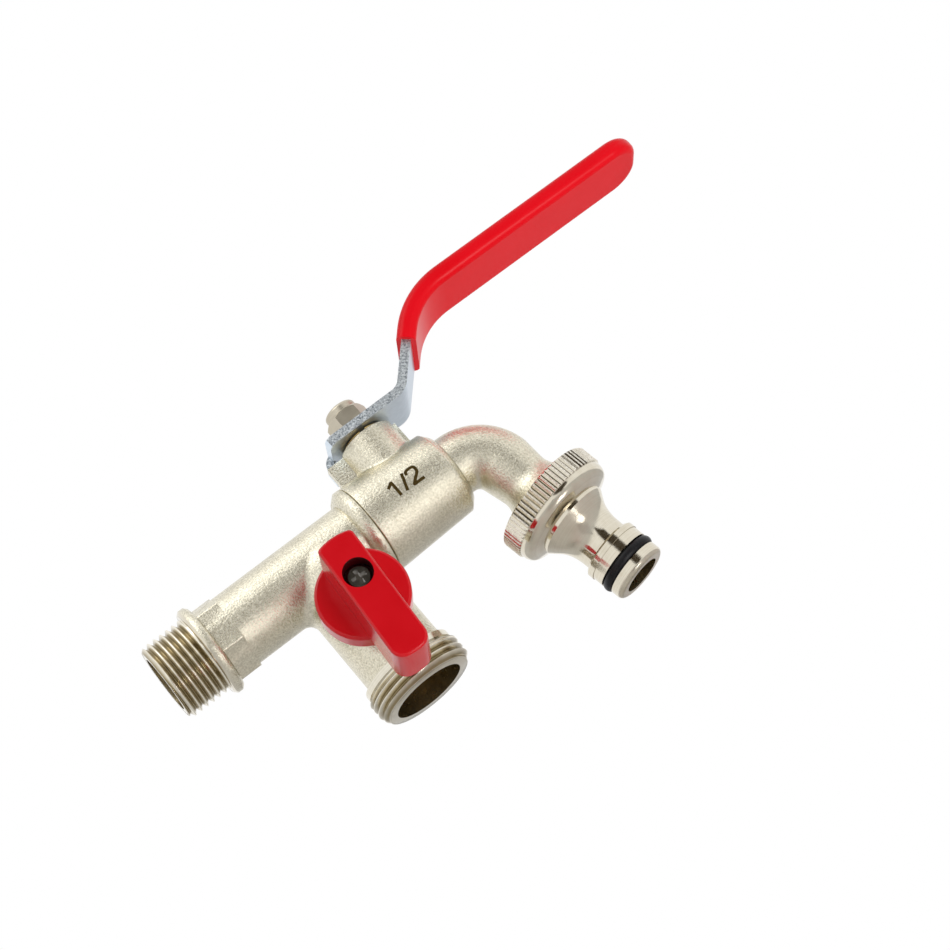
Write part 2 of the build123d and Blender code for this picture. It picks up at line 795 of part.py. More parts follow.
# Wing handle: round disc with a tall bar, hollow behind the bar's free end
bar_half = bar_w / 2
bar_low = bar_foot_bow - bar_down
bar_high = bar_up - bar_end_bow
pocket_low = bar_low + bar_wall
pocket_high = -disc_d / 2 - pocket_land
with BuildPart() as side_handle:
    turn(
        sleeve(0, disc_d / 2, disc_rear, disc_front),
        side_stem_plane,
        rounds=[(disc_d / 2, disc_front, disc_round)],
    )
    with BuildSketch(side_front.offset(bar_under)) as bar:
        with BuildLine():
            near = Line((bar_low, -bar_half), (bar_high, -bar_half))
            bow = ThreePointArc(near @ 1, (bar_up, 0), (bar_high, bar_half))
            far = Line(bow @ 1, (bar_low, bar_half))
            ThreePointArc(far @ 1, (-bar_down, 0), near @ 0)
        make_face()
        fillet(bar.vertices().sort_by(Axis.X)[-2:], bar_corner)
        fillet(bar.vertices().sort_by(Axis.X)[:2], bar_foot_corner)
    extrude(bar.sketch, amount=bar_top - bar_under)
    fillet(side_handle.faces().sort_by(Axis.Y)[0].edges(), bar_round)
    with BuildSketch(side_front.offset(bar_under)) as pocket:
        with Locations(((pocket_low + pocket_high) / 2, 0)):
            RectangleRounded(pocket_high - pocket_low, bar_w - 2 * bar_wall, bar_foot_corner - bar_wall)
    extrude(pocket.sketch, amount=bar_top - bar_under - bar_wall, mode=Mode.SUBTRACT)
    turn(sleeve(0, recess_d / 2, recess_floor, bar_top), side_stem_plane, mode=Mode.SUBTRACT)
    turn(sleeve(0, tapped_r, side_stem_end, recess_floor), side_stem_plane, mode=Mode.SUBTRACT)
    turn(sleeve(0, side_stem_hole_r, disc_rear, side_drive_low), side_stem_plane, mode=Mode.SUBTRACT)
    with BuildSketch(side_front.offset(side_drive_low)) as drive_socket:
        Circle(side_stem_r + thread_gap)
        Rectangle(2 * (side_stem_r + thread_gap), side_drive_af + 2 * thread_gap, mode=Mode.INTERSECT)
    extrude(drive_socket.sketch, amount=side_drive_len, mode=Mode.SUBTRACT)

with BuildPart() as side_handle_screw:
    turn(
        [
            (0, screw_tip),
            (screw_d / 2, screw_tip),
            (screw_d / 2, recess_floor),
            (screw_head_r, recess_floor),
            (screw_head_r, screw_head_top),
            (0, screw_head_top),
        ],
        side_stem_plane,
        bevels=[(screw_head_r, screw_head_top, head_bevel)],
    )
    with BuildSketch(side_front.offset(screw_head_top - cross_depth)) as cross:
        Rectangle(cross_len, cross_w)
        Rectangle(cross_w, cross_len)
    extrude(cross.sketch, amount=cross_depth, mode=Mode.SUBTRACT)

# Click-on hose connector: toothed ring, rounded shoulder and plug
shoulder_r = ring_r - shoulder_step
tooth_turn = 2 * pi / knurl_count
with BuildPart() as hose_connector:
    with BuildSketch(Plane(origin=connector_base, x_dir=(0, 1, 0), z_dir=outlet_way)) as teeth:
        with BuildLine():
            Polyline(
                *[
                    (radius * cos((tooth + share) * tooth_turn), radius * sin((tooth + share) * tooth_turn))
                    for tooth in range(knurl_count)
                    for radius, share in ((ring_r, 0), (ring_r - knurl_depth, 0.5))
                ],
                close=True,
            )
        make_face()
    extrude(teeth.sketch, amount=knurl_len)
    turn(
        sleeve(0, ring_r, 0, knurl_len),
        outlet_plane,
        bevels=[(ring_r, 0, knurl_edge), (ring_r, knurl_len, knurl_edge)],
        mode=Mode.INTERSECT,
    )
    turn(
        [
            (0, knurl_len),
            (shoulder_r, knurl_len),
            (shoulder_r, knurl_len + shoulder_len),
            (hub_r, shoulder_s),
            (hub_r, hub_s),
            (plug_neck_r, hub_s + scoop_len),
            (plug_neck_r, ridge_s),
            (plug_r + ridge_lip - ridge_chamfer, ridge_s),
            (plug_r + ridge_lip, ridge_s + ridge_chamfer),
            (plug_r + ridge_lip, ridge_end),
            (plug_r, ridge_end),
            (plug_r, groove_low),
            (groove_r, groove_low),
            (groove_r, groove_high),
            (tip_r, groove_high),
            (tip_r, connector_len),
            (0, connector_len),
        ],
        outlet_plane,
        rounds=[
            (shoulder_r, knurl_len + shoulder_len, shoulder_round),
            (plug_neck_r, hub_s + scoop_len, scoop_round),
            (tip_r, connector_len, tip_round),
        ],
    )
    turn(sleeve(0, hose_thread_d / 2, 0, cup_len), outlet_plane, mode=Mode.SUBTRACT)
    turn(sleeve(0, connector_bore_r, cup_len, connector_len), outlet_plane, mode=Mode.SUBTRACT)

with BuildPart() as connector_washer:
    turn(
        sleeve(connector_bore_r + washer_inset, spout_thread_r, spout_end, cup_len),
        outlet_plane,
    )

# O-ring pressed into its groove, with its crown standing proud
o_ring_low = groove_low + groove_side
o_ring_high = groove_high - groove_side
o_ring_r = groove_r + o_ring_section
with BuildPart() as connector_o_ring:
    with BuildSketch(outlet_plane) as cord:
        with BuildLine():
            flat = Polyline(
                (o_ring_r - o_ring_crown, o_ring_high),
                (groove_r, o_ring_high),
                (groove_r, o_ring_low),
                (o_ring_r - o_ring_crown, o_ring_low),
            )
            ThreePointArc(flat @ 1, (o_ring_r, (o_ring_low + o_ring_high) / 2), flat @ 0)
        make_face()
    revolve(cord.sketch, axis=Axis(outlet_plane.origin, outlet_plane.y_dir))

# Written pieces
pieces = {
    "tee_body": tee_body,
    "spout_body": spout_body,
    "main_ball": main_ball,
    "main_seat_inlet": main_seat_inlet,
    "main_seat_outlet": main_seat_outlet,
    "main_stem": main_stem,
    "main_thrust_washer": main_thrust_washer,
    "main_packing": main_packing,
    "gland_nut": gland_nut,
    "lever": lever,
    "lever_grip": lever_grip,
    "lever_nut": lever_nut,
    "side_ball": side_ball,
    "side_seat_inner": side_seat_inner,
    "side_seat_outer": side_seat_outer,
    "side_retainer": side_retainer,
    "side_stem": side_stem,
    "side_thrust_washer": side_thrust_washer,
    "side_stem_seal": side_stem_seal,
    "side_handle": side_handle,
    "side_handle_screw": side_handle_screw,
    "hose_connector": hose_connector,
    "connector_washer": connector_washer,
    "connector_o_ring": connector_o_ring,
}
os.makedirs("parts", exist_ok=True)
for label, piece in pieces.items():
    piece.part.label = label
    export_step(piece.part, f"parts/{label}.step")
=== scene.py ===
"""Looks of a dual outlet garden tap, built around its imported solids."""

from __future__ import annotations

import json
import logging
import math
from contextlib import contextmanager
from dataclasses import dataclass, field
from enum import Enum
from typing import Any, Callable, Iterator, Optional, Union

import bmesh
import bpy
from mathutils import Matrix, Vector

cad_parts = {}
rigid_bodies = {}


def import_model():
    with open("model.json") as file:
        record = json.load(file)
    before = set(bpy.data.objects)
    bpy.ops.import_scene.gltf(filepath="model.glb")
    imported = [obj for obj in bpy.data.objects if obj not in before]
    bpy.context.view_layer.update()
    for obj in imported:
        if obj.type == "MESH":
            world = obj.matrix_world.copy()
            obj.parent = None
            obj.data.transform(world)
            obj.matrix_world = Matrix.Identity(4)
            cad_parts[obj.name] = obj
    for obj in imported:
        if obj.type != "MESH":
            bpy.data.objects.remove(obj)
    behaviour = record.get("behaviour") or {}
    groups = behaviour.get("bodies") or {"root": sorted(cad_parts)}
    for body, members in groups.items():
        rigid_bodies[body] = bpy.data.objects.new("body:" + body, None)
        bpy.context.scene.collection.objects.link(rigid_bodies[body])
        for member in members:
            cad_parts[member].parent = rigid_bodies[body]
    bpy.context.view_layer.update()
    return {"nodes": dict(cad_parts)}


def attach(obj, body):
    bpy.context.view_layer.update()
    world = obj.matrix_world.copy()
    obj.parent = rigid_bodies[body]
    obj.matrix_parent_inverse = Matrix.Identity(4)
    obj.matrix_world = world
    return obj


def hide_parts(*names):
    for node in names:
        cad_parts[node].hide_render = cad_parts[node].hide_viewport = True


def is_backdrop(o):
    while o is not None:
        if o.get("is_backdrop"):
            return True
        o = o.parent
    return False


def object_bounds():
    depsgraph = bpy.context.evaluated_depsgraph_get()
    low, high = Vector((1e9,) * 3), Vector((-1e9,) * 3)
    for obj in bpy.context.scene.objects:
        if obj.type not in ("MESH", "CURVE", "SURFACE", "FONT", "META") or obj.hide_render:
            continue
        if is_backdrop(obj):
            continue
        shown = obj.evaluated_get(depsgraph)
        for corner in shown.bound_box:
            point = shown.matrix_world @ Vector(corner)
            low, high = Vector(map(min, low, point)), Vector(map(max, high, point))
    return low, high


LOG = logging.getLogger("garden_tap")

# Sizes of the tap are in millimetres, and this turns them into Blender's metres.
MM = 0.001
# Metres within which two corners of a solid, or of a rolled grid, are one.
WELD = 2e-7
SEAM = 1e-6
# Slack of a test on a place.
TOUCH = 0.01
# Reach of a face's normal away from an axis, or towards it, from which it faces that way.
FACING = 0.1
# Angle above which an edge stays sharp, where a piece has none of its own.
SHARP_DEG = 50.0

BRANCH_X = 36.06
OUTLET_LEAN_DEG = 9.4
ALONG_PIPE = Vector((1, 0, 0))
UPWARD = Vector((0, 0, 1))
FORWARD = Vector((0, -1, 0))

Material = bpy.types.Material
Object = bpy.types.Object
Colour = tuple[float, float, float]
Point = tuple[float, float, float]
Span = tuple[float, float]
Path = tuple[Span, ...]
Values = Optional[dict[Any, Any]]
Test = Callable[[Vector, Vector], bool]
Regions = tuple[tuple[Test, Material], ...]
Number = Union["Term", float]


class Body(Enum):
    """Bodies of the tap that pieces ride on."""

    TAP = "tap"
    LEVER = "main_lever"
    SIDE = "side_valve_handle"


class Slot(Enum):
    """Material slots of the record."""

    FORGING = "nickel_forging"
    TURNED = "nickel_turned"
    ZINC = "zinc_steel"
    VINYL = "red_vinyl"
    PAINT = "red_paint"
    BRASS = "bare_brass"
    RUBBER = "black_rubber"


class Axis(Enum):
    """Turning axes that lathe lines run round."""

    PIPE = (0.0, math.pi / 2, 0.0)
    BRANCH = (0.0, 0.0, 0.0)
    OUTLET = (0.0, math.radians(OUTLET_LEAN_DEG), 0.0)
    FRONT = (math.pi / 2, 0.0, 0.0)


class Term:
    """A socket of a node tree that arithmetic can be written with."""

    def __init__(self, tree: Tree, socket: bpy.types.NodeSocket) -> None:
        """Keep the socket and the tree that it belongs to."""
        self.tree = tree
        self.socket = socket

    def __add__(self, other: Number) -> Term:
        """Sum of two values."""
        return self.tree.math("ADD", self, other)

    def __radd__(self, other: Number) -> Term:
        """Sum with a number on the left."""
        return self.tree.math("ADD", other, self)

    def __sub__(self, other: Number) -> Term:
        """Difference of two values."""
        return self.tree.math("SUBTRACT", self, other)

    def __rsub__(self, other: Number) -> Term:
        """Difference from a number on the left."""
        return self.tree.math("SUBTRACT", other, self)

    def __mul__(self, other: Number) -> Term:
        """Product of two values."""
        return self.tree.math("MULTIPLY", self, other)

    def __rmul__(self, other: Number) -> Term:
        """Product with a number on the left."""
        return self.tree.math("MULTIPLY", other, self)

    def __truediv__(self, other: Number) -> Term:
        """Quotient of two values."""
        return self.tree.math("DIVIDE", self, other)

    def __rtruediv__(self, other: Number) -> Term:
        """Quotient of a number on the left by this value."""
        return self.tree.math("DIVIDE", other, self)

    def __lt__(self, other: Number) -> Term:
        """One where this value is below the other, else zero."""
        return self.tree.math("LESS_THAN", self, other)

    def __gt__(self, other: Number) -> Term:
        """One where this value is above the other, else zero."""
        return self.tree.math("GREATER_THAN", self, other)

    def __abs__(self) -> Term:
        """Size of the value without its sign."""
        return self.tree.math("ABSOLUTE", self)

    def clamped(self) -> Term:
        """The value kept between zero and one."""
        return self.tree.math("MAXIMUM", self.tree.math("MINIMUM", self, 1.0), 0.0)

    def band(self, low: float = 0.3, high: float = 0.7) -> Term:
        """The value stretched so that low gives zero and high gives one, and clamped."""
        return ((self - low) * (1.0 / (high - low))).clamped()


def opaque(colour: Colour) -> tuple[float, float, float, float]:
    """Colour with full alpha."""
    return (*colour, 1.0)


class Tree:
    """A node tree that nodes are added to and linked in one call each."""

    def __init__(self, tree: bpy.types.NodeTree) -> None:
        """Keep the Blender tree that is built."""
        self.tree = tree

    def node(self, kind: str, settings: Values = None, inputs: Values = None) -> bpy.types.Node:
        """Add a node, set it and then feed its sockets.

        Args:
            kind: Blender's name for the node type.
            settings: Properties of the node, set before its sockets are fed.
            inputs: Values or links by socket identifier, name or place.

        Returns:
            The new node.
        """
        node = self.tree.nodes.new(kind)
        for name, value in (settings or {}).items():
            setattr(node, name, value)
        known = {socket.identifier: socket for socket in node.inputs}
        for key, value in (inputs or {}).items():
            socket = known[key] if key in known else node.inputs[key]
            if isinstance(value, Term):
                self.tree.links.new(value.socket, socket)
            else:
                socket.default_value = value
        return node

    def term(
        self, kind: str, settings: Values = None, inputs: Values = None, output: Union[int, str] = 0
    ) -> Term:
        """Add a node as node() does and take one of its outputs.

        Args:
            kind: Blender's name for the node type.
            settings: Properties of the node.
            inputs: Values or links of its sockets.
            output: Identifier, name or place of the output.

        Returns:
            The output as a term.
        """
        node = self.node(kind, settings, inputs)
        if isinstance(output, str):
            return Term(self, next(s for s in node.outputs if output in (s.identifier, s.name)))
        return Term(self, node.outputs[output])

    def math(self, operation: str, *values: Number) -> Term:
        """Add one Math node for an operation on values."""
        return self.term("ShaderNodeMath", {"operation": operation}, dict(enumerate(values)))

    def mix(self, factor: Number, first: Colour, second: Colour) -> Term:
        """Mix two colours by a factor."""
        return self.term(
            "ShaderNodeMix",
            {"data_type": "RGBA"},
            {"Factor_Float": factor, "A_Color": opaque(first), "B_Color": opaque(second)},
            "Result_Color",
        )

    def vector(self, x: Number, y: Number, z: Number) -> Term:
        """Join three values into a vector."""
        return self.term("ShaderNodeCombineXYZ", None, {"X": x, "Y": y, "Z": z})

    def parts(self, vector: Term) -> tuple[Term, Term, Term]:
        """Split a vector into its three values."""
        node = self.node("ShaderNodeSeparateXYZ", None, {"Vector": vector})
        return tuple(Term(self, socket) for socket in node.outputs)

    def rays(self, *kinds: str) -> list[Term]:
        """For each kind of ray, one where such a ray arrives, else zero."""
        path = self.node("ShaderNodeLightPath")
        return [Term(self, path.outputs[f"Is {kind} Ray"]) for kind in kinds]


class Shader(Tree):
    """A material's tree with the patterns that the tap's finishes share."""

    def __init__(self, name: str) -> None:
        """Start an empty material whose coordinates are millimetres of the object.

        Args:
            name: Name of the material.
        """
        self.material = bpy.data.materials.new(name)
        self.material.use_nodes = True
        super().__init__(self.material.node_tree)
        self.tree.nodes.clear()
        here = self.term("ShaderNodeTexCoord", output="Object")
        self.place = self.term(
            "ShaderNodeVectorMath", {"operation": "SCALE"}, {"Vector": here, "Scale": 1.0 / MM}
        )

    def noise(self, per_mm: float, detail: float = 3.0, rough: float = 0.55) -> Term:
        """Noise value from zero to one.

        Args:
            per_mm: Spots in a millimetre.
            detail: Octaves of finer noise.
            rough: Share that each finer octave keeps.

        Returns:
            The noise value.
        """
        sockets = {"Vector": self.place, "Scale": per_mm, "Detail": detail, "Roughness": rough}
        return self.term("ShaderNodeTexNoise", None, sockets, "Fac")

    def along(self, axis: Axis) -> Term:
        """Place along a turning axis, in millimetres."""
        turn = {"Vector": self.place, "Rotation": axis.value}
        return self.parts(self.term("ShaderNodeMapping", {"vector_type": "POINT"}, turn))[2]

    def lathe(self, axis: Axis, per_mm: float, detail: float = 2.0) -> Term:
        """Fine rings left by turning, from zero to one."""
        sockets = {"W": self.along(axis), "Scale": per_mm, "Detail": detail}
        return self.term("ShaderNodeTexNoise", {"noise_dimensions": "1D"}, sockets, "Fac")

    def bump(self, height: Term, depth_mm: float, strength: float) -> Term:
        """Normal that a height pattern gives."""
        sockets = {"Strength": strength, "Distance": depth_mm * MM, "Height": height}
        return self.term("ShaderNodeBump", None, sockets)

    def close(self, surface: Term) -> Material:
        """End the tree in a surface and return its material."""
        self.node("ShaderNodeOutputMaterial", None, {"Surface": surface})
        return self.material

    def surface(self, **inputs: Any) -> Material:
        """Close the tree with a principled surface.

        Args:
            inputs: Socket names with underscores for spaces, and their values.

        Returns:
            The finished material.
        """
        named = {key.replace("_", " "): value for key, value in inputs.items()}
        return self.close(self.term("ShaderNodeBsdfPrincipled", None, named))


@dataclass(frozen=True)
class BlastedNickel:
    """Nickel plate over a sand-blasted forging: warm, grainy and satin."""

    name: str = "blasted_nickel"
    pale: Colour = (0.88, 0.835, 0.685)
    deep: Colour = (0.56, 0.515, 0.395)
    grain_per_mm: float = 2.0
    cloud_per_mm: float = 0.16
    grain_mm: float = 0.16
    grain_share: float = 0.8
    contrast: Span = (0.34, 0.64)
    rough: float = 0.17
    rough_spread: float = 0.14

    def material(self) -> Material:
        """Make the material.

        Returns:
            The finished material.
        """
        shade = Shader(self.name)
        grain = shade.noise(self.grain_per_mm, detail=4.0, rough=0.6)
        cloud = shade.noise(self.cloud_per_mm, detail=2.0)
        spots = grain.band(*self.contrast) * self.grain_share
        tone = (spots + cloud.band() * (1.0 - self.grain_share)).clamped()
        return shade.surface(
            Base_Color=shade.mix(tone, self.deep, self.pale),
            Metallic=1.0,
            Roughness=self.rough + self.rough_spread * grain,
            Normal=shade.bump(grain, self.grain_mm, strength=1.0),
        )


@dataclass(frozen=True)
class TurnedNickel:
    """Bright nickel plate over turned brass, with fine lathe rings."""

    name: str
    axis: Axis
    bright: Colour = (0.80, 0.75, 0.63)
    dull: Colour = (0.64, 0.58, 0.46)
    rings_per_mm: float = 6.0
    smears_per_mm: float = 0.35
    ring_mm: float = 0.012
    ring_share: float = 0.6
    rough: float = 0.07
    rough_spread: float = 0.1

    def material(self) -> Material:
        """Make the material.

        Returns:
            The finished material.
        """
        shade = Shader(self.name)
        rings = shade.lathe(self.axis, self.rings_per_mm)
        smear = shade.noise(self.smears_per_mm, detail=2.0)
        tone = (self.ring_share * rings + (1.0 - self.ring_share) * smear).band()
        return shade.surface(
            Base_Color=shade.mix(tone, self.dull, self.bright),
            Metallic=1.0,
            Roughness=self.rough + self.rough_spread * smear,
            Normal=shade.bump(rings, self.ring_mm, strength=0.5),
        )


@dataclass(frozen=True)
class ThreadNickel:
    """Nickel on a cut thread: bright crests, turning darker brown towards the roots of the grooves.

    Attributes:
        name: Name of the material.
        axis: Axis that the thread runs round.
        foot: A point on that axis, in millimetres.
        root_r: Radius at the bottom of the grooves.
        depth: Depth of the grooves.
        groove_wander: How unevenly the darker groove colour climbs, as a share of the depth.
        contrast: Shares of the depth that give the two colours.
    """

    name: str
    axis: Axis
    foot: Point
    root_r: float
    depth: float
    crest: Colour = (0.88, 0.83, 0.71)
    groove: Colour = (0.34, 0.28, 0.165)
    smears_per_mm: float = 0.3
    groove_wander: float = 0.4
    contrast: Span = (0.15, 0.95)
    rough: float = 0.13
    rough_spread: float = 0.12

    def material(self) -> Material:
        """Make the material.

        Returns:
            The finished material.
        """
        shade = Shader(self.name)
        reach = shade.term(
            "ShaderNodeVectorMath", {"operation": "SUBTRACT"}, {0: shade.place, 1: self.foot}
        )
        x, y, z = shade.parts(reach)
        first, second = (y, z) if self.axis is Axis.PIPE else (x, y)
        radius = shade.math("SQRT", first * first + second * second)
        smear = shade.noise(self.smears_per_mm)
        # The colour runs from the groove colour at the roots to the crest colour at the crests, with noise
        # in where it turns.
        uneven = (radius - self.root_r) / self.depth + self.groove_wander * smear - self.groove_wander / 2
        fine = shade.noise(5.0, detail=2.0)
        return shade.surface(
            Base_Color=shade.mix(uneven.band(*self.contrast), self.groove, self.crest),
            Metallic=1.0,
            Roughness=self.rough + self.rough_spread * smear,
            Normal=shade.bump(fine, depth_mm=0.01, strength=0.4),
        )


@dataclass(frozen=True)
class BareBrass:
    """Uncoated machined brass, browner where it has tarnished."""

    name: str = "bare_brass"
    clean: Colour = (0.72, 0.50, 0.19)
    tarnish: Colour = (0.34, 0.22, 0.09)
    rough: float = 0.24
    rough_spread: float = 0.2
    stains_per_mm: float = 0.4

    def material(self) -> Material:
        """Make the material.

        Returns:
            The finished material.
        """
        shade = Shader(self.name)
        stain = shade.noise(self.stains_per_mm, detail=4.0, rough=0.6)
        fine = shade.noise(5.0, detail=2.0)
        return shade.surface(
            Base_Color=shade.mix(stain.band(low=0.35), self.clean, self.tarnish),
            Metallic=1.0,
            Roughness=self.rough + self.rough_spread * stain,
            Normal=shade.bump(fine, depth_mm=0.02, strength=0.4),
        )


@dataclass(frozen=True)
class GlossyRed:
    """Red coat with a soft gloss and a slight orange peel."""

    name: str
    full: Colour = (0.66, 0.002, 0.008)
    thin: Colour = (0.73, 0.006, 0.014)
    rough: float = 0.26
    rough_spread: float = 0.08
    peel_per_mm: float = 0.7
    cloud_per_mm: float = 0.07
    dust_per_mm: float = 4.0
    peel_mm: float = 0.03
    gloss: float = 0.4

    def material(self) -> Material:
        """Make the material.

        Returns:
            The finished material.
        """
        shade = Shader(self.name)
        peel = shade.noise(self.peel_per_mm, detail=2.0, rough=0.4)
        cloud = shade.noise(self.cloud_per_mm, detail=2.0)
        dust = shade.noise(self.dust_per_mm)
        return shade.surface(
            Base_Color=shade.mix(cloud.band(), self.full, self.thin),
            Roughness=self.rough + self.rough_spread * dust,
            Specular_IOR_Level=self.gloss,
            Normal=shade.bump(peel, self.peel_mm, strength=0.3),
        )


@dataclass(frozen=True)
class Speckled:
    """A finish whose tone, roughness and relief all follow one fine noise.

    Attributes:
        per_mm: Spots in a millimetre.
        rough_spread: What the noise adds to the roughness.
        contrast: Noise values that give the two colours.
        fine: Share that each finer octave keeps.
    """

    name: str
    deep: Colour
    pale: Colour
    per_mm: float
    rough: float
    rough_spread: float
    contrast: Span = (0.3, 0.7)
    relief_mm: float = 0.02
    relief: float = 0.3
    gloss: float = 0.5
    metal: float = 0.0
    detail: float = 3.0
    fine: float = 0.55

    def material(self) -> Material:
        """Make the material.

        Returns:
            The finished material.
        """
        shade = Shader(self.name)
        spots = shade.noise(self.per_mm, self.detail, self.fine)
        return shade.surface(
            Base_Color=shade.mix(spots.band(*self.contrast), self.deep, self.pale),
            Metallic=self.metal,
            Roughness=self.rough + self.rough_spread * spots,
            Specular_IOR_Level=self.gloss,
            Normal=shade.bump(spots, self.relief_mm, self.relief),
        )


@dataclass(frozen=True)
class RolledZinc(Speckled):
    """Zinc plate on the rolled faces of a strip: smooth and blue-grey."""

    name: str = "zinc_face"
    deep: Colour = (0.68, 0.76, 0.84)
    pale: Colour = (0.77, 0.85, 0.93)
    per_mm: float = 0.6
    rough: float = 0.36
    rough_spread: float = 0.12
    relief_mm: float = 0.015
    relief: float = 0.75
    metal: float = 1.0
    detail: float = 5.0
    fine: float = 0.7


@dataclass(frozen=True)
class ShearedZinc(RolledZinc):
    """Zinc plate on the sheared edges of a strip: rough and glittering."""

    name: str = "zinc_edge"
    deep: Colour = (0.13, 0.15, 0.17)
    pale: Colour = (0.70, 0.74, 0.76)
    per_mm: float = 1.9
    rough: float = 0.26
    contrast: Span = (0.36, 0.64)
    relief_mm: float = 0.32


@dataclass(frozen=True)
class BlackRubber(Speckled):
    """Moulded black rubber with a faint bloom."""

    name: str = "black_rubber"
    deep: Colour = (0.004, 0.004, 0.005)
    pale: Colour = (0.014, 0.014, 0.015)
    per_mm: float = 3.0
    rough: float = 0.3
    rough_spread: float = 0.2
    contrast: Span = (0.35, 0.75)
    gloss: float = 0.2


@dataclass(frozen=True)
class SeatPlastic(Speckled):
    """Waxy white seat material."""

    name: str = "white_seat"
    deep: Colour = (0.70, 0.69, 0.66)
    pale: Colour = (0.82, 0.81, 0.78)
    per_mm: float = 0.8
    rough: float = 0.42
    rough_spread: float = 0.1


@dataclass(frozen=True)
class LaserMark(Speckled):
    """Dark brown burnt marking."""

    name: str = "laser_mark"
    deep: Colour = (0.045, 0.028, 0.005)
    pale: Colour = (0.10, 0.066, 0.015)
    per_mm: float = 3.0
    rough: float = 0.6
    rough_spread: float = 0.2
    contrast: Span = (0.4, 0.75)
    relief_mm: float = 0.03
    relief: float = 0.4
    gloss: float = 0.1


def made_of(finish: Any) -> Any:
    """Field for the material that a finish makes."""
    return field(default_factory=finish.material)


@dataclass
class Finishes:
    """Every material of the tap, made once."""

    forging: Material = made_of(BlastedNickel())
    pipe_turned: Material = made_of(TurnedNickel("pipe_nickel", Axis.PIPE))
    branch_turned: Material = made_of(
        TurnedNickel("branch_nickel", Axis.BRANCH, (0.86, 0.82, 0.71), (0.66, 0.61, 0.49))
    )
    outlet_turned: Material = made_of(TurnedNickel("connector_nickel", Axis.OUTLET))
    knurl: Material = made_of(
        BlastedNickel("knurl_nickel", (0.97, 0.93, 0.83), (0.68, 0.63, 0.54), rough=0.34)
    )
    nut: Material = made_of(
        TurnedNickel("nut_nickel", Axis.BRANCH, (0.62, 0.57, 0.46), (0.48, 0.43, 0.34), rough=0.3)
    )
    screw: Material = made_of(
        TurnedNickel("screw_steel", Axis.FRONT, (0.58, 0.56, 0.53), (0.24, 0.23, 0.21), rough=0.16)
    )
    bore: Material = made_of(BareBrass("bore_brass", (0.66, 0.57, 0.37), (0.34, 0.27, 0.14), rough=0.15))
    brass: Material = made_of(BareBrass())
    zinc: Material = made_of(RolledZinc())
    sheared: Material = made_of(ShearedZinc())
    vinyl: Material = made_of(
        GlossyRed("red_vinyl", (0.88, 0.001, 0.008), (0.94, 0.003, 0.012), gloss=0.14)
    )
    paint: Material = made_of(GlossyRed("red_paint", rough=0.14, peel_mm=0.02))
    # Near-black red for the wall and floor of the screw's pit: painted shade for the shadow that falls into
    # the deep pit.
    pit: Material = made_of(
        GlossyRed("pit_painted_shade", (0.045, 0.001, 0.002), (0.07, 0.001, 0.003), rough=0.3, gloss=0.2)
    )
    ball: Material = made_of(
        TurnedNickel("chrome_ball", Axis.PIPE, (0.80, 0.80, 0.80), (0.70, 0.70, 0.71))
    )
    seat: Material = made_of(SeatPlastic())
    rubber: Material = made_of(BlackRubber())
    mark: Material = made_of(LaserMark())


def add_object(name: str, data: bpy.types.ID) -> Object:
    """Put a mesh, lamp or camera in the scene as an object at the origin.

    Args:
        name: Name of the object.
        data: What the object shows or does.

    Returns:
        The new object.
    """
    made = bpy.data.objects.new(name, data)
    bpy.context.scene.collection.objects.link(made)
    return made


@contextmanager
def edited(mesh: bpy.types.Mesh) -> Iterator[bmesh.types.BMesh]:
    """Open a mesh for editing, and write it back at the end.

    Args:
        mesh: Mesh that is edited.

    Yields:
        The open mesh.
    """
    work = bmesh.new()
    work.from_mesh(mesh)
    yield work
    work.to_mesh(mesh)
    work.free()


def smooth(mesh: bpy.types.Mesh, sharp_deg: float) -> None:
    """Shade a mesh smooth, with edges above an angle kept sharp."""
    mesh.shade_smooth()
    mesh.set_sharp_from_angle(angle=math.radians(sharp_deg))


def off_axis(point: Vector, centre: Vector, along: Vector) -> Vector:
    """Vector from an axis to a point, square to the axis."""
    reach = point - centre
    return reach - along * reach.dot(along)


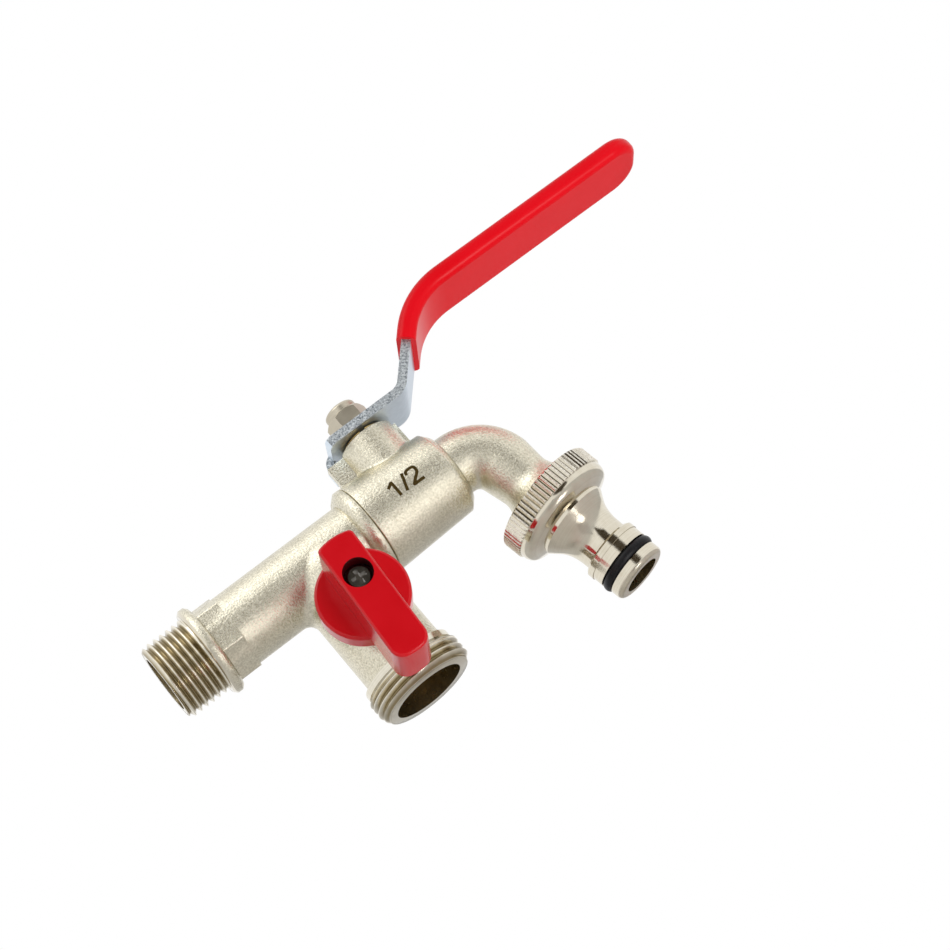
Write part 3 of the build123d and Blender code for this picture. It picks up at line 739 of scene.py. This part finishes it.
@dataclass
class Dresser:
    """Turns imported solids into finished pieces.

    Attributes:
        nodes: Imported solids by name.
        finishes: Materials of the tap.
    """

    nodes: dict[str, Object]
    finishes: Finishes

    def welded(self, node: str, name: str, sharp_deg: float = SHARP_DEG) -> Object:
        """Copy a solid's mesh with its seams welded and its small bevels shaded round.

        Args:
            node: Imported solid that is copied.
            name: Name of the new piece.
            sharp_deg: Edges bent by more than this stay sharp.

        Returns:
            The new object.
        """
        mesh = self.nodes[node].data.copy()
        mesh.name = name
        mesh.materials.clear()
        with edited(mesh) as work:
            bmesh.ops.remove_doubles(work, verts=work.verts, dist=WELD)
        if "custom_normal" in mesh.attributes:
            mesh.attributes.remove(mesh.attributes["custom_normal"])
        smooth(mesh, sharp_deg)
        piece = add_object(name, mesh)
        weigh = piece.modifiers.new("weighted", "WEIGHTED_NORMAL")
        weigh.keep_sharp = True
        return piece

    def paint(self, piece: Object, base: Material, regions: Regions = ()) -> None:
        """Give a piece its material, and other materials where a region's test holds.

        Args:
            piece: Object that is painted.
            base: Material of all faces that no region takes.
            regions: Tests on a face's centre, in millimetres, and normal, with their materials.
        """
        mesh = piece.data
        mesh.materials.clear()
        mesh.materials.append(base)
        for _, material in regions:
            mesh.materials.append(material)
        for face in mesh.polygons:
            centre = face.center / MM
            for place, (test, _) in enumerate(regions, 1):
                if test(centre, face.normal):
                    face.material_index = place
                    break

    def seat(self, piece: Object, body: Body, slot: Slot, *replaced: str) -> None:
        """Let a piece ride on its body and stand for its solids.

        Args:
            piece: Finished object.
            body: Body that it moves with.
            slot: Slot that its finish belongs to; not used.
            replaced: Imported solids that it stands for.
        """
        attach(piece, body.value)
        if replaced:
            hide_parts(*replaced)
        LOG.info("piece %s on %s, %d faces", piece.name, body.value, len(piece.data.polygons))

    def coat(self, material: Material, *nodes: str) -> None:
        """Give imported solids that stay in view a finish.

        Args:
            material: Finish of the solids.
            nodes: Names of the solids.
        """
        for node in nodes:
            slots = self.nodes[node].data.materials
            slots.clear()
            slots.append(material)
            LOG.info("solid %s in %s", node, material.name)


@dataclass
class PipeThread:
    """Helical pipe thread on a closed sleeve, made by Geometry Nodes.

    Attributes:
        name: Name of the piece.
        crest_r: Radius over the crests, in millimetres.
        length: Length from the free end.
        foot: Middle of the free end.
        turned: Turn from the sleeve's own axis to its place.
        lead: Chamfer at the free end.
        run_out: Length over which the last groove fades.
        flat: Share of half a turn that is flat at the crest, and again at the root.
        bite: Wall of the sleeve below the grooves.
        caps: Rows at each end that close the sleeve along its core.
    """

    name: str
    crest_r: float
    length: float
    foot: Point
    turned: Matrix
    lead: float
    run_out: float
    pitch: float = 1.814
    depth: float = 1.162
    flat: float = 0.1
    bite: float = 0.5
    around: int = 112
    steps: int = 14
    caps: int = 2
    sharp_deg: float = 60.0

    @property
    def root_r(self) -> float:
        """Radius at the bottom of the grooves, in millimetres."""
        return self.crest_r - self.depth

    def tree(self) -> bpy.types.NodeTree:
        """Build the node tree that rolls a grid into a threaded sleeve.

        Returns:
            The tree, with a named input for each size.
        """
        group = bpy.data.node_groups.new(f"{self.name}_tree", "GeometryNodeTree")
        group.interface.new_socket("Geometry", in_out="OUTPUT", socket_type="NodeSocketGeometry")
        for kind, labels in (
            ("Float", ("Crest Radius", "Depth", "Core Radius", "Pitch", "Length", "Lead", "Run Out")),
            ("Int", ("Around", "Rows")),
            ("Material", ("Material",)),
        ):
            for label in labels:
                group.interface.new_socket(label, in_out="INPUT", socket_type=f"NodeSocket{kind}")
        tree = Tree(group)
        given = tree.node("NodeGroupInput")
        size = {socket.name: Term(tree, socket) for socket in given.outputs if socket.name}
        grid = tree.term(
            "GeometryNodeMeshGrid",
            None,
            {"Size X": 1.0, "Size Y": 1.0, "Vertices X": size["Around"] + 1.0, "Vertices Y": size["Rows"]},
        )
        across, up, _ = tree.parts(tree.term("GeometryNodeInputPosition"))
        turn = across + 0.5
        last = size["Rows"] - 1.0
        row = (up + 0.5) * last
        share = ((row - self.caps) / (last - 2 * self.caps)).clamped()
        # The cap rows lie on the core, and the first and last row of all meet halfway along it.
        rim = self.caps - 0.5
        inner = (row < rim) + (row > last - rim)
        fold = (row < 0.5) + (row > last - 0.5)
        along = size["Length"] * (share * (1.0 - fold) + 0.5 * fold)
        phase = tree.math("FRACT", along / size["Pitch"] - turn + 1.0)
        flank = abs(2.0 * phase - 1.0).band(self.flat, 1.0 - self.flat)
        fade = ((size["Length"] - along) / size["Run Out"]).clamped()
        groove = size["Crest Radius"] - size["Depth"] * (1.0 - flank) * fade
        nose = size["Crest Radius"] - tree.math("MAXIMUM", size["Lead"] - along, 0.0)
        skin = tree.math("MINIMUM", groove, nose)
        radius = skin * (1.0 - inner) + size["Core Radius"] * inner
        angle = turn * math.tau
        spot = tree.vector(radius * tree.math("COSINE", angle), radius * tree.math("SINE", angle), along)
        rolled = tree.term("GeometryNodeSetPosition", None, {"Geometry": grid, "Position": spot})
        closed = tree.term("GeometryNodeMergeByDistance", None, {"Geometry": rolled, "Distance": SEAM})
        whole = tree.term("GeometryNodeRealizeInstances", None, {"Geometry": closed})
        dressed = tree.term(
            "GeometryNodeSetMaterial", None, {"Geometry": whole, "Material": size["Material"]}
        )
        tree.node("NodeGroupOutput", None, {"Geometry": dressed})
        return group

    def build(self, material: Material) -> Object:
        """Make the threaded sleeve at its place.

        Args:
            material: Finish of the thread.

        Returns:
            The finished object.
        """
        host = add_object(f"{self.name}_grid", bpy.data.meshes.new(f"{self.name}_grid"))
        group = self.tree()
        shaper = host.modifiers.new("thread", "NODES")
        shaper.node_group = group
        values = {
            "Crest Radius": self.crest_r * MM,
            "Depth": self.depth * MM,
            "Core Radius": (self.root_r - self.bite) * MM,
            "Pitch": self.pitch * MM,
            "Length": self.length * MM,
            "Lead": self.lead * MM,
            "Run Out": self.run_out * MM,
            "Around": self.around,
            "Rows": int(self.length / self.pitch * self.steps) + 2 * self.caps + 1,
            "Material": material,
        }
        for item in group.interface.items_tree:
            if item.in_out == "INPUT":
                shaper[item.identifier] = values[item.name]
        seen = host.evaluated_get(bpy.context.evaluated_depsgraph_get())
        mesh = bpy.data.meshes.new_from_object(seen)
        bpy.data.objects.remove(host)
        with edited(mesh) as work:
            bmesh.ops.recalc_face_normals(work, faces=work.faces)
        mesh.transform(Matrix.Translation(Vector(self.foot) * MM) @ self.turned)
        mesh.name = self.name
        smooth(mesh, self.sharp_deg)
        return add_object(self.name, mesh)


@dataclass
class TeeBody:
    """Forged tee with its inlet thread, flange and side outlet.

    Attributes:
        kit: Dresser that makes the pieces.
        turned_x: Place behind which the inlet and the flange's wall face are turned.
        pipe_bore_r: Radius inside which a wall belongs to the pipe's waterway.
        branch_bore_r: Radius inside which a wall belongs to the branch's waterway.
        ring_top: Height below which the branch is turned.
        sink: Depth below a thread's root to which the forging is taken.
    """

    kit: Dresser
    inlet_r: float = 10.4775
    inlet_len: float = 12.0
    turned_x: float = 0.6
    pipe_bore_r: float = 9.4
    branch_x: float = BRANCH_X
    branch_bore_r: float = 10.0
    branch_bore_top: float = -8.0
    outlet_r: float = 13.2205
    outlet_low: float = -41.9
    outlet_len: float = 5.9
    ring_top: float = -33.4
    sink: float = 0.2

    @property
    def foot(self) -> Vector:
        """Point where the branch's axis meets the pipe's."""
        return Vector((self.branch_x, 0, 0))

    def threads(self) -> tuple[PipeThread, PipeThread]:
        """Lay out the two outside threads.

        Returns:
            The inlet's thread and the side outlet's thread.
        """
        to_pipe = Matrix(((0, 0, 1, 0), (1, 0, 0, 0), (0, 1, 0, 0), (0, 0, 0, 1)))
        inlet = PipeThread(
            "inlet_thread_turns",
            self.inlet_r,
            self.inlet_len,
            foot=(-self.inlet_len, 0, 0),
            turned=to_pipe,
            lead=1.0,
            run_out=1.0,
        )
        outlet = PipeThread(
            "outlet_thread_turns",
            self.outlet_r,
            self.outlet_len,
            foot=(self.branch_x, 0, self.outlet_low),
            turned=Matrix.Identity(4),
            lead=1.7,
            run_out=0.6,
        )
        return inlet, outlet

    def sink_cores(self, piece: Object, inlet: PipeThread, outlet: PipeThread) -> None:
        """Take the forging down below the threads' roots where the turns sit.

        Args:
            piece: Forging whose skin is moved.
            inlet: Thread of the inlet.
            outlet: Thread of the side outlet.
        """
        outlet_top = self.outlet_low + self.outlet_len
        for vertex in piece.data.vertices:
            place = vertex.co / MM
            for thread, centre, along, inside in (
                (inlet, Vector(), ALONG_PIPE, place.x < TOUCH),
                (outlet, self.foot, UPWARD, place.z < outlet_top + TOUCH),
            ):
                out = off_axis(place, centre, along)
                core = thread.root_r - self.sink
                if inside and core < out.length < thread.crest_r + TOUCH:
                    vertex.co = (place + out * (core / out.length - 1)) * MM

    def bored(self, centre: Vector, normal: Vector) -> bool:
        """Tell whether a face lines one of the two waterways.

        Args:
            centre: Middle of the face, in millimetres.
            normal: Normal of the face.

        Returns:
            True on a waterway's wall.
        """
        out = off_axis(centre, Vector(), ALONG_PIPE)
        if out.length < self.pipe_bore_r and normal.dot(out) < -FACING:
            return True
        out = off_axis(centre, self.foot, UPWARD)
        near = centre.z < self.branch_bore_top and out.length < self.branch_bore_r
        return near and normal.dot(out) < -FACING

    def pipe_end(self, centre: Vector, normal: Vector) -> bool:
        """True on the turned inlet end and the flange's wall face."""
        return centre.x < self.turned_x

    def branch_end(self, centre: Vector, normal: Vector) -> bool:
        """True on the turned end of the branch."""
        return centre.z < self.ring_top + TOUCH

    def build(self) -> None:
        """Make the forging and its two threads."""
        kit = self.kit
        looks = kit.finishes
        inlet, outlet = self.threads()
        forging = kit.welded("tee_body", "tee_forging")
        self.sink_cores(forging, inlet, outlet)
        kit.paint(
            forging,
            looks.forging,
            (
                (self.bored, looks.bore),
                (self.pipe_end, looks.pipe_turned),
                (self.branch_end, looks.branch_turned),
            ),
        )
        kit.seat(forging, Body.TAP, Slot.FORGING, "tee_body")
        for thread, axis in ((inlet, Axis.PIPE), (outlet, Axis.BRANCH)):
            finish = ThreadNickel(
                f"{thread.name}_nickel", axis, thread.foot, thread.root_r, thread.depth
            ).material()
            kit.seat(thread.build(finish), Body.TAP, Slot.TURNED)


@dataclass
class SizeMark:
    """Thread size burnt into the housing in plain strokes, wrapped round its cone.

    Attributes:
        strokes: Paths of the strokes, in millimetres along and round the pipe from the mark's middle.
        centre_x: Middle of the mark along the pipe.
        width: Width of a stroke.
        step: Length of the facets along a stroke.
        rounds: Times that the corners of a bent stroke are cut.
        cut: Share of a run that each cut takes off its ends.
    """

    strokes: tuple[Path, ...] = (
        ((-4.5, 1.05), (-2.75, 2.2)),
        ((-2.9, 2.25), (-2.9, -2.15)),
        ((0.6, 2.5), (-0.95, -2.1)),
        ((1.3, 1.2), (1.5, 2.2), (2.7, 2.4), (4.0, 2.2), (4.1, 0.8), (3.6, 0.1), (2.4, -0.8), (1.15, -2.0)),
        ((1.1, -1.85), (4.45, -1.85)),
    )
    centre_x: float = 62.9
    width: float = 0.78
    step: float = 0.35
    rounds: int = 3
    cut: float = 0.25
    near_r: float = 12.6
    far_r: float = 11.6
    near_x: float = 50.85
    far_x: float = 76.0
    proud: float = 0.05
    sunk: float = 0.15

    def spot(self, along: float, arc: float, lift: float) -> Vector:
        """Wrap a place on the unrolled mark round the housing's cone.

        Args:
            along: Place along the pipe from the mark's middle.
            arc: Place round the pipe.
            lift: Height above the cone.

        Returns:
            The point in metres.
        """
        x = self.centre_x + along
        cone = self.near_r + (self.far_r - self.near_r) * (x - self.near_x) / (self.far_x - self.near_x)
        turn = arc / cone
        radius = cone + lift
        return Vector((x, -radius * math.cos(turn), radius * math.sin(turn))) * MM

    def points(self, path: Path) -> list[Vector]:
        """Round a path's corners and divide its runs.

        Args:
            path: Corners of a stroke.

        Returns:
            Points along the stroke.
        """
        line = [Vector(corner) for corner in path]
        for _ in range(self.rounds if len(line) > 2 else 0):
            rounded = [line[0]]
            for first, second in zip(line, line[1:]):
                rounded += [first.lerp(second, self.cut), first.lerp(second, 1.0 - self.cut)]
            line = rounded + [line[-1]]
        spread = [line[0]]
        for first, second in zip(line, line[1:]):
            count = max(1, round((second - first).length / self.step))
            spread += [first.lerp(second, (i + 1) / count) for i in range(count)]
        return spread

    def build(self, material: Material) -> Object:
        """Make the mark as thin closed ribbons on the housing.

        Args:
            material: Finish of the mark.

        Returns:
            The finished object.
        """
        section = ((1, self.proud), (-1, self.proud), (-1, -self.sunk), (1, -self.sunk))
        mesh = bpy.data.meshes.new("size_mark")
        with edited(mesh) as work:
            for path in self.strokes:
                line = self.points(path)
                rows = []
                for place, point in enumerate(line):
                    ahead = line[min(place + 1, len(line) - 1)] - line[max(place - 1, 0)]
                    side = Vector((-ahead.y, ahead.x)).normalized() * (self.width / 2)
                    rows.append([
                        work.verts.new(self.spot(*(point + side * sign), lift)) for sign, lift in section
                    ])
                for first, second in zip(rows, rows[1:]):
                    for i, j in ((0, 1), (1, 2), (2, 3), (3, 0)):
                        work.faces.new((first[i], first[j], second[j], second[i]))
                work.faces.new(rows[0])
                work.faces.new(rows[-1])
            bmesh.ops.recalc_face_normals(work, faces=work.faces)
        mesh.materials.append(material)
        return add_object("size_mark", mesh)


@dataclass
class SpoutBody:
    """Forged ball housing with neck, lugs and gooseneck."""

    kit: Dresser
    mark: SizeMark = field(default_factory=SizeMark)

    def build(self) -> None:
        """Make the forging and its size mark."""
        kit = self.kit
        forging = kit.welded("spout_body", "spout_forging")
        kit.paint(forging, kit.finishes.forging)
        kit.seat(forging, Body.TAP, Slot.FORGING, "spout_body")
        kit.seat(self.mark.build(kit.finishes.mark), Body.TAP, Slot.FORGING)


@dataclass
class HoseConnector:
    """Turned click-on connector with its O-ring.

    Attributes:
        kit: Dresser that makes the pieces.
        base: Middle of the knurled end, in millimetres.
        lean: Lean of the axis from straight down, in degrees.
        bore_r: Radius inside which a wall belongs to the waterway.
        knurl_r: Radius outside which the rim is toothed.
        knurl_at: Places along the axis where the toothed rim starts and ends.
        neck_r: Radius of the neck behind the hub.
        solid_at: Places along the axis of the shoulder, hub, scoop and ridge on the solid.
        shown_at: Places of the same edges on the finished piece.
        near: Slack in the radius of the neck.
        along: Direction of the axis.
    """

    kit: Dresser
    base: Point = (89.33, 0.0, -20.38)
    lean: float = OUTLET_LEAN_DEG
    bore_r: float = 5.3
    knurl_r: float = 15.0
    knurl_at: Span = (0.3, 5.3)
    neck_r: float = 6.85
    solid_at: tuple[float, ...] = (8.1, 10.6, 11.5, 15.96, 21.2)
    shown_at: tuple[float, ...] = (8.1, 9.4, 10.3, 19.0, 21.2)
    near: float = 0.05
    along: Vector = field(init=False)

    def __post_init__(self) -> None:
        """Work out the direction of the axis from its lean."""
        lean = math.radians(self.lean)
        self.along = Vector((math.sin(lean), 0.0, -math.cos(lean)))

    def far(self, place: Vector) -> float:
        """Place of a point along the axis, from the knurled end."""
        return (place - Vector(self.base)).dot(self.along)

    def out(self, place: Vector) -> Vector:
        """Vector from the axis to a point."""
        return off_axis(place, Vector(self.base), self.along)

    def draw_scoop(self, piece: Object) -> None:
        """Bring the hub nearer to the ring and let its scoop run longer towards the ridge.

        Args:
            piece: Connector whose outer skin is drawn.
        """
        spans = list(zip(self.solid_at, self.solid_at[1:], self.shown_at, self.shown_at[1:]))
        for vertex in piece.data.vertices:
            place = vertex.co / MM
            far = self.far(place)
            if self.out(place).length < self.neck_r - self.near:
                continue
            for low, high, new_low, new_high in spans:
                if low < far <= high:
                    drawn = new_low + (far - low) / (high - low) * (new_high - new_low)
                    vertex.co = (place + self.along * (drawn - far)) * MM
                    break

    def bored(self, centre: Vector, normal: Vector) -> bool:
        """True on the walls that face the waterway."""
        out = self.out(centre)
        return out.length < self.bore_r and normal.dot(out) < -FACING

    def knurled(self, centre: Vector, normal: Vector) -> bool:
        """True on the toothed rim of the ring."""
        start, end = self.knurl_at
        return self.out(centre).length > self.knurl_r and start < self.far(centre) < end

    def build(self) -> None:
        """Make the connector and its O-ring."""
        kit = self.kit
        looks = kit.finishes
        plug = kit.welded("hose_connector", "turned_connector", sharp_deg=35.0)
        self.draw_scoop(plug)
        kit.paint(plug, looks.outlet_turned, ((self.bored, looks.bore), (self.knurled, looks.knurl)))
        kit.seat(plug, Body.TAP, Slot.TURNED, "hose_connector")
        ring = kit.welded("connector_o_ring", "rubber_o_ring", sharp_deg=60.0)
        kit.paint(ring, looks.rubber)
        kit.seat(ring, Body.TAP, Slot.RUBBER, "connector_o_ring")
        kit.coat(looks.rubber, "connector_washer")


@dataclass
class MainLever:
    """Bent lever with its dipped grip, self-locking nut and stem.

    Attributes:
        kit: Dresser that makes the pieces.
        edge_facing: Share of a face's normal along the strip's width above which it is an edge.
    """

    kit: Dresser
    edge_facing: float = 0.6

    def sheared(self, centre: Vector, normal: Vector) -> bool:
        """True on the edges that the strip was sheared along."""
        return abs(normal.y) > self.edge_facing

    def build(self) -> None:
        """Make the strip, the grip, the nut and the stem."""
        kit = self.kit
        looks = kit.finishes
        for node, name, finish, slot, sharp_deg, regions in (
            ("lever", "lever_strip", looks.zinc, Slot.ZINC, 40.0, ((self.sheared, looks.sheared),)),
            ("lever_grip", "dipped_grip", looks.vinyl, Slot.VINYL, SHARP_DEG, ()),
            ("lever_nut", "locking_nut", looks.nut, Slot.ZINC, 35.0, ()),
            ("main_stem", "stem_end", looks.brass, Slot.BRASS, 40.0, ()),
        ):
            piece = kit.welded(node, name, sharp_deg)
            kit.paint(piece, finish, regions)
            kit.seat(piece, Body.LEVER, slot, node)


@dataclass
class SideHandle:
    """Painted wing handle with its screw.

    Attributes:
        kit: Dresser that makes the pieces.
        hub: Middle of the side valve, in millimetres.
        pit_r: Radius inside which a wall belongs to the screw's pit, whose wall and floor are painted
            near-black red as painted shade.
        pit_y: Place in front of which the pit lies.
    """

    kit: Dresser
    hub: Point = (BRANCH_X, 0.0, -18.4)
    pit_r: float = 3.8
    pit_y: float = -26.0

    def pit(self, centre: Vector, normal: Vector) -> bool:
        """True on the wall and floor of the screw's pit, which take a near-black red as painted shade."""
        out = off_axis(centre, Vector(self.hub), FORWARD)
        return centre.y < self.pit_y and out.length < self.pit_r and normal.dot(out) < FACING

    def build(self) -> None:
        """Make the handle and the screw."""
        kit = self.kit
        looks = kit.finishes
        wing = kit.welded("side_handle", "wing_handle")
        # The wall and floor of the screw's pit are painted near-black red as painted shade.
        kit.paint(wing, looks.paint, ((self.pit, looks.pit),))
        kit.seat(wing, Body.SIDE, Slot.PAINT, "side_handle")
        screw = kit.welded("side_handle_screw", "cross_screw", sharp_deg=40.0)
        kit.paint(screw, looks.screw)
        kit.seat(screw, Body.SIDE, Slot.ZINC, "side_handle_screw")


@dataclass
class ValveInsides:
    """Balls, seats and seals that show only through the openings, and the gland."""

    kit: Dresser

    def build(self) -> None:
        """Give the inner solids their finishes."""
        kit = self.kit
        looks = kit.finishes
        kit.coat(looks.ball, "main_ball", "side_ball")
        kit.coat(
            looks.seat,
            "main_seat_inlet",
            "main_seat_outlet",
            "side_seat_inner",
            "side_seat_outer",
            "main_packing",
            "main_thrust_washer",
            "side_thrust_washer",
        )
        kit.coat(looks.brass, "gland_nut", "side_retainer", "side_stem")
        kit.coat(looks.rubber, "side_stem_seal")


@dataclass(frozen=True)
class Hung:
    """Something that hangs round the object.

    Attributes:
        name: Its name.
        way: Direction from the object, in the camera's right, up and backward.
        reach: Distance from the object, in metres.
    """

    name: str
    way: Point
    reach: float


@dataclass(frozen=True)
class Lamp(Hung):
    """A soft square lamp, with its side in metres."""

    size: float
    watts: float


@dataclass(frozen=True)
class Card(Hung):
    """A dark card that only shows in gloss, so that metal has something to mirror."""

    half: float
    tone: Colour = (0.07, 0.052, 0.03)


@dataclass
class Studio:
    """Camera, lamps, floor and white surroundings.

    Attributes:
        eye: Camera's place in millimetres.
        right: Camera's right.
        up: Camera's up.
        focal_px: Focal length in pixels of a square picture.
        clip: Nearest and farthest distance that the camera sees, in metres.
        ambient: Strength of the surroundings as light.
        floor_clear: Share of the floor that gloss looks through.
        floor_glow: Light that the floor adds to what the camera sees of it.
    """

    eye: Point = (-47.5, -530.2, -192.1)
    right: Point = (0.777, 0.035, -0.629)
    up: Point = (0.590, -0.391, 0.707)
    focal_px: float = 2313.8
    picture_px: int = 950
    sensor_mm: float = 36.0
    clip: Span = (0.01, 10.0)
    ambient: float = 0.5
    floor_tone: Colour = (0.86, 0.86, 0.86)
    floor_drop: float = 0.002
    floor_half: float = 1.2
    floor_clear: float = 0.12
    floor_glow: float = 0.38
    lamps: tuple[Lamp, ...] = (
        Lamp("key", (-0.8, 0.75, 0.25), reach=0.8, size=0.45, watts=1.1),
        Lamp("fill", (0.57, -0.1, 0.82), reach=0.8, size=0.3, watts=2.6),
    )
    cards: tuple[Card, ...] = (
        Card("front_card", (0.1, -0.05, 1.0), reach=0.75, half=0.24),
        Card("upper_card", (-0.05, 0.68, 0.72), reach=0.75, half=0.2),
    )

    def frame(self) -> tuple[Vector, Vector, Vector]:
        """Square up the camera's directions.

        Returns:
            The camera's right, up and backward.
        """
        right = Vector(self.right).normalized()
        back = right.cross(Vector(self.up)).normalized()
        return right, back.cross(right), back

    def hung(self, item: Hung) -> tuple[Vector, Vector]:
        """Find where a lamp or a card hangs.

        Args:
            item: Lamp or card.

        Returns:
            Its direction from the object, and its place.
        """
        right, up, back = self.frame()
        towards = (right * item.way[0] + up * item.way[1] + back * item.way[2]).normalized()
        low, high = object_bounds()
        return towards, (low + high) / 2 + towards * item.reach

    def camera(self) -> None:
        """Place the camera at the photograph's viewing angle."""
        lens = bpy.data.cameras.new("camera")
        lens.sensor_width = self.sensor_mm
        lens.lens = self.sensor_mm * self.focal_px / self.picture_px
        lens.clip_start, lens.clip_end = self.clip
        holder = add_object("camera", lens)
        turn = Matrix(self.frame()).transposed().to_4x4()
        holder.matrix_world = Matrix.Translation(Vector(self.eye) * MM) @ turn
        bpy.context.scene.camera = holder

    def light(self, lamp: Lamp) -> None:
        """Hang one soft lamp.

        Args:
            lamp: Lamp that is hung.
        """
        towards, place = self.hung(lamp)
        light = bpy.data.lights.new(lamp.name, "AREA")
        light.size = lamp.size
        light.energy = lamp.watts
        holder = add_object(lamp.name, light)
        holder.location = place
        holder.rotation_mode = "QUATERNION"
        holder.rotation_quaternion = towards.to_track_quat("Z", "Y")

    def panel(self, name: str, middle: Vector, across: Vector, rise: Vector, material: Material) -> Object:
        """Make a flat square that belongs to the stage.

        Args:
            name: Name of the panel.
            middle: Its middle, in metres.
            across: Half of its width.
            rise: Half of its height.
            material: Its material.

        Returns:
            The new object.
        """
        mesh = bpy.data.meshes.new(name)
        corners = [middle + across * x + rise * y for x, y in ((-1, -1), (1, -1), (1, 1), (-1, 1))]
        mesh.from_pydata(corners, [], [(0, 1, 2, 3)])
        mesh.materials.append(material)
        plane = add_object(name, mesh)
        plane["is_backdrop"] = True
        return plane

    def stand(self, card: Card) -> None:
        """Stand one card that neither the camera nor the light sees.

        Args:
            card: Card that is stood.
        """
        towards, place = self.hung(card)
        across = self.frame()[1].cross(towards).normalized() * card.half
        rise = towards.cross(across).normalized() * card.half
        material = Shader(f"{card.name}_tone").surface(Base_Color=opaque(card.tone), Roughness=1.0)
        plane = self.panel(card.name, place, across, rise, material)
        plane.visible_camera = False
        plane.visible_diffuse = False
        plane.visible_transmission = False
        plane.visible_shadow = False

    def surroundings(self) -> None:
        """Make the world white to the camera and to reflections, and softer as light."""
        world = bpy.data.worlds.new("surroundings")
        world.use_nodes = True
        bpy.context.scene.world = world
        world.node_tree.nodes.clear()
        tree = Tree(world.node_tree)
        camera, gloss, clear = tree.rays("Camera", "Glossy", "Transmission")
        seen = (camera + gloss + clear).clamped()
        strength = seen + (1.0 - seen) * self.ambient
        white = opaque((1.0, 1.0, 1.0))
        glow = tree.term("ShaderNodeBackground", None, {"Color": white, "Strength": strength})
        tree.node("ShaderNodeOutputWorld", None, {"Surface": glow})

    def floor(self) -> None:
        """Lay a pale floor that is seen only from above, keeps the shadow and is pale in gloss."""
        shade = Shader("pale_floor")
        shadow, gloss, camera = shade.rays("Shadow", "Glossy", "Camera")
        behind = shade.term("ShaderNodeNewGeometry", output="Backfacing")
        through = (behind + shadow + self.floor_clear * gloss).clamped()
        paper = shade.term("ShaderNodeBsdfDiffuse", None, {"Color": opaque(self.floor_tone)})
        glow = shade.term("ShaderNodeEmission", None, {"Strength": self.floor_glow * camera})
        sheet = shade.term("ShaderNodeAddShader", None, {0: paper, 1: glow})
        clear = shade.term("ShaderNodeBsdfTransparent")
        both = shade.term("ShaderNodeMixShader", None, {0: through, 1: sheet, 2: clear})
        low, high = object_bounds()
        middle = (low + high) / 2
        middle.z = low.z - self.floor_drop
        across, rise = Vector((self.floor_half, 0, 0)), Vector((0, self.floor_half, 0))
        self.panel("floor", middle, across, rise, shade.close(both))

    def build(self) -> None:
        """Set up the whole studio."""
        self.camera()
        for lamp in self.lamps:
            self.light(lamp)
        for card in self.cards:
            self.stand(card)
        self.surroundings()
        self.floor()
        bpy.context.scene.view_settings.view_transform = "Standard"


def main() -> None:
    """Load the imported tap, dress every piece and set up the studio."""
    logging.basicConfig(level=logging.INFO, format="%(message)s")
    for stray in list(bpy.data.objects):
        bpy.data.objects.remove(stray)
    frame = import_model()
    kit = Dresser(frame["nodes"], Finishes())
    for part in (TeeBody, SpoutBody, HoseConnector, MainLever, SideHandle, ValveInsides):
        part(kit).build()
    Studio().build()


if __name__ == "__main__":
    main()
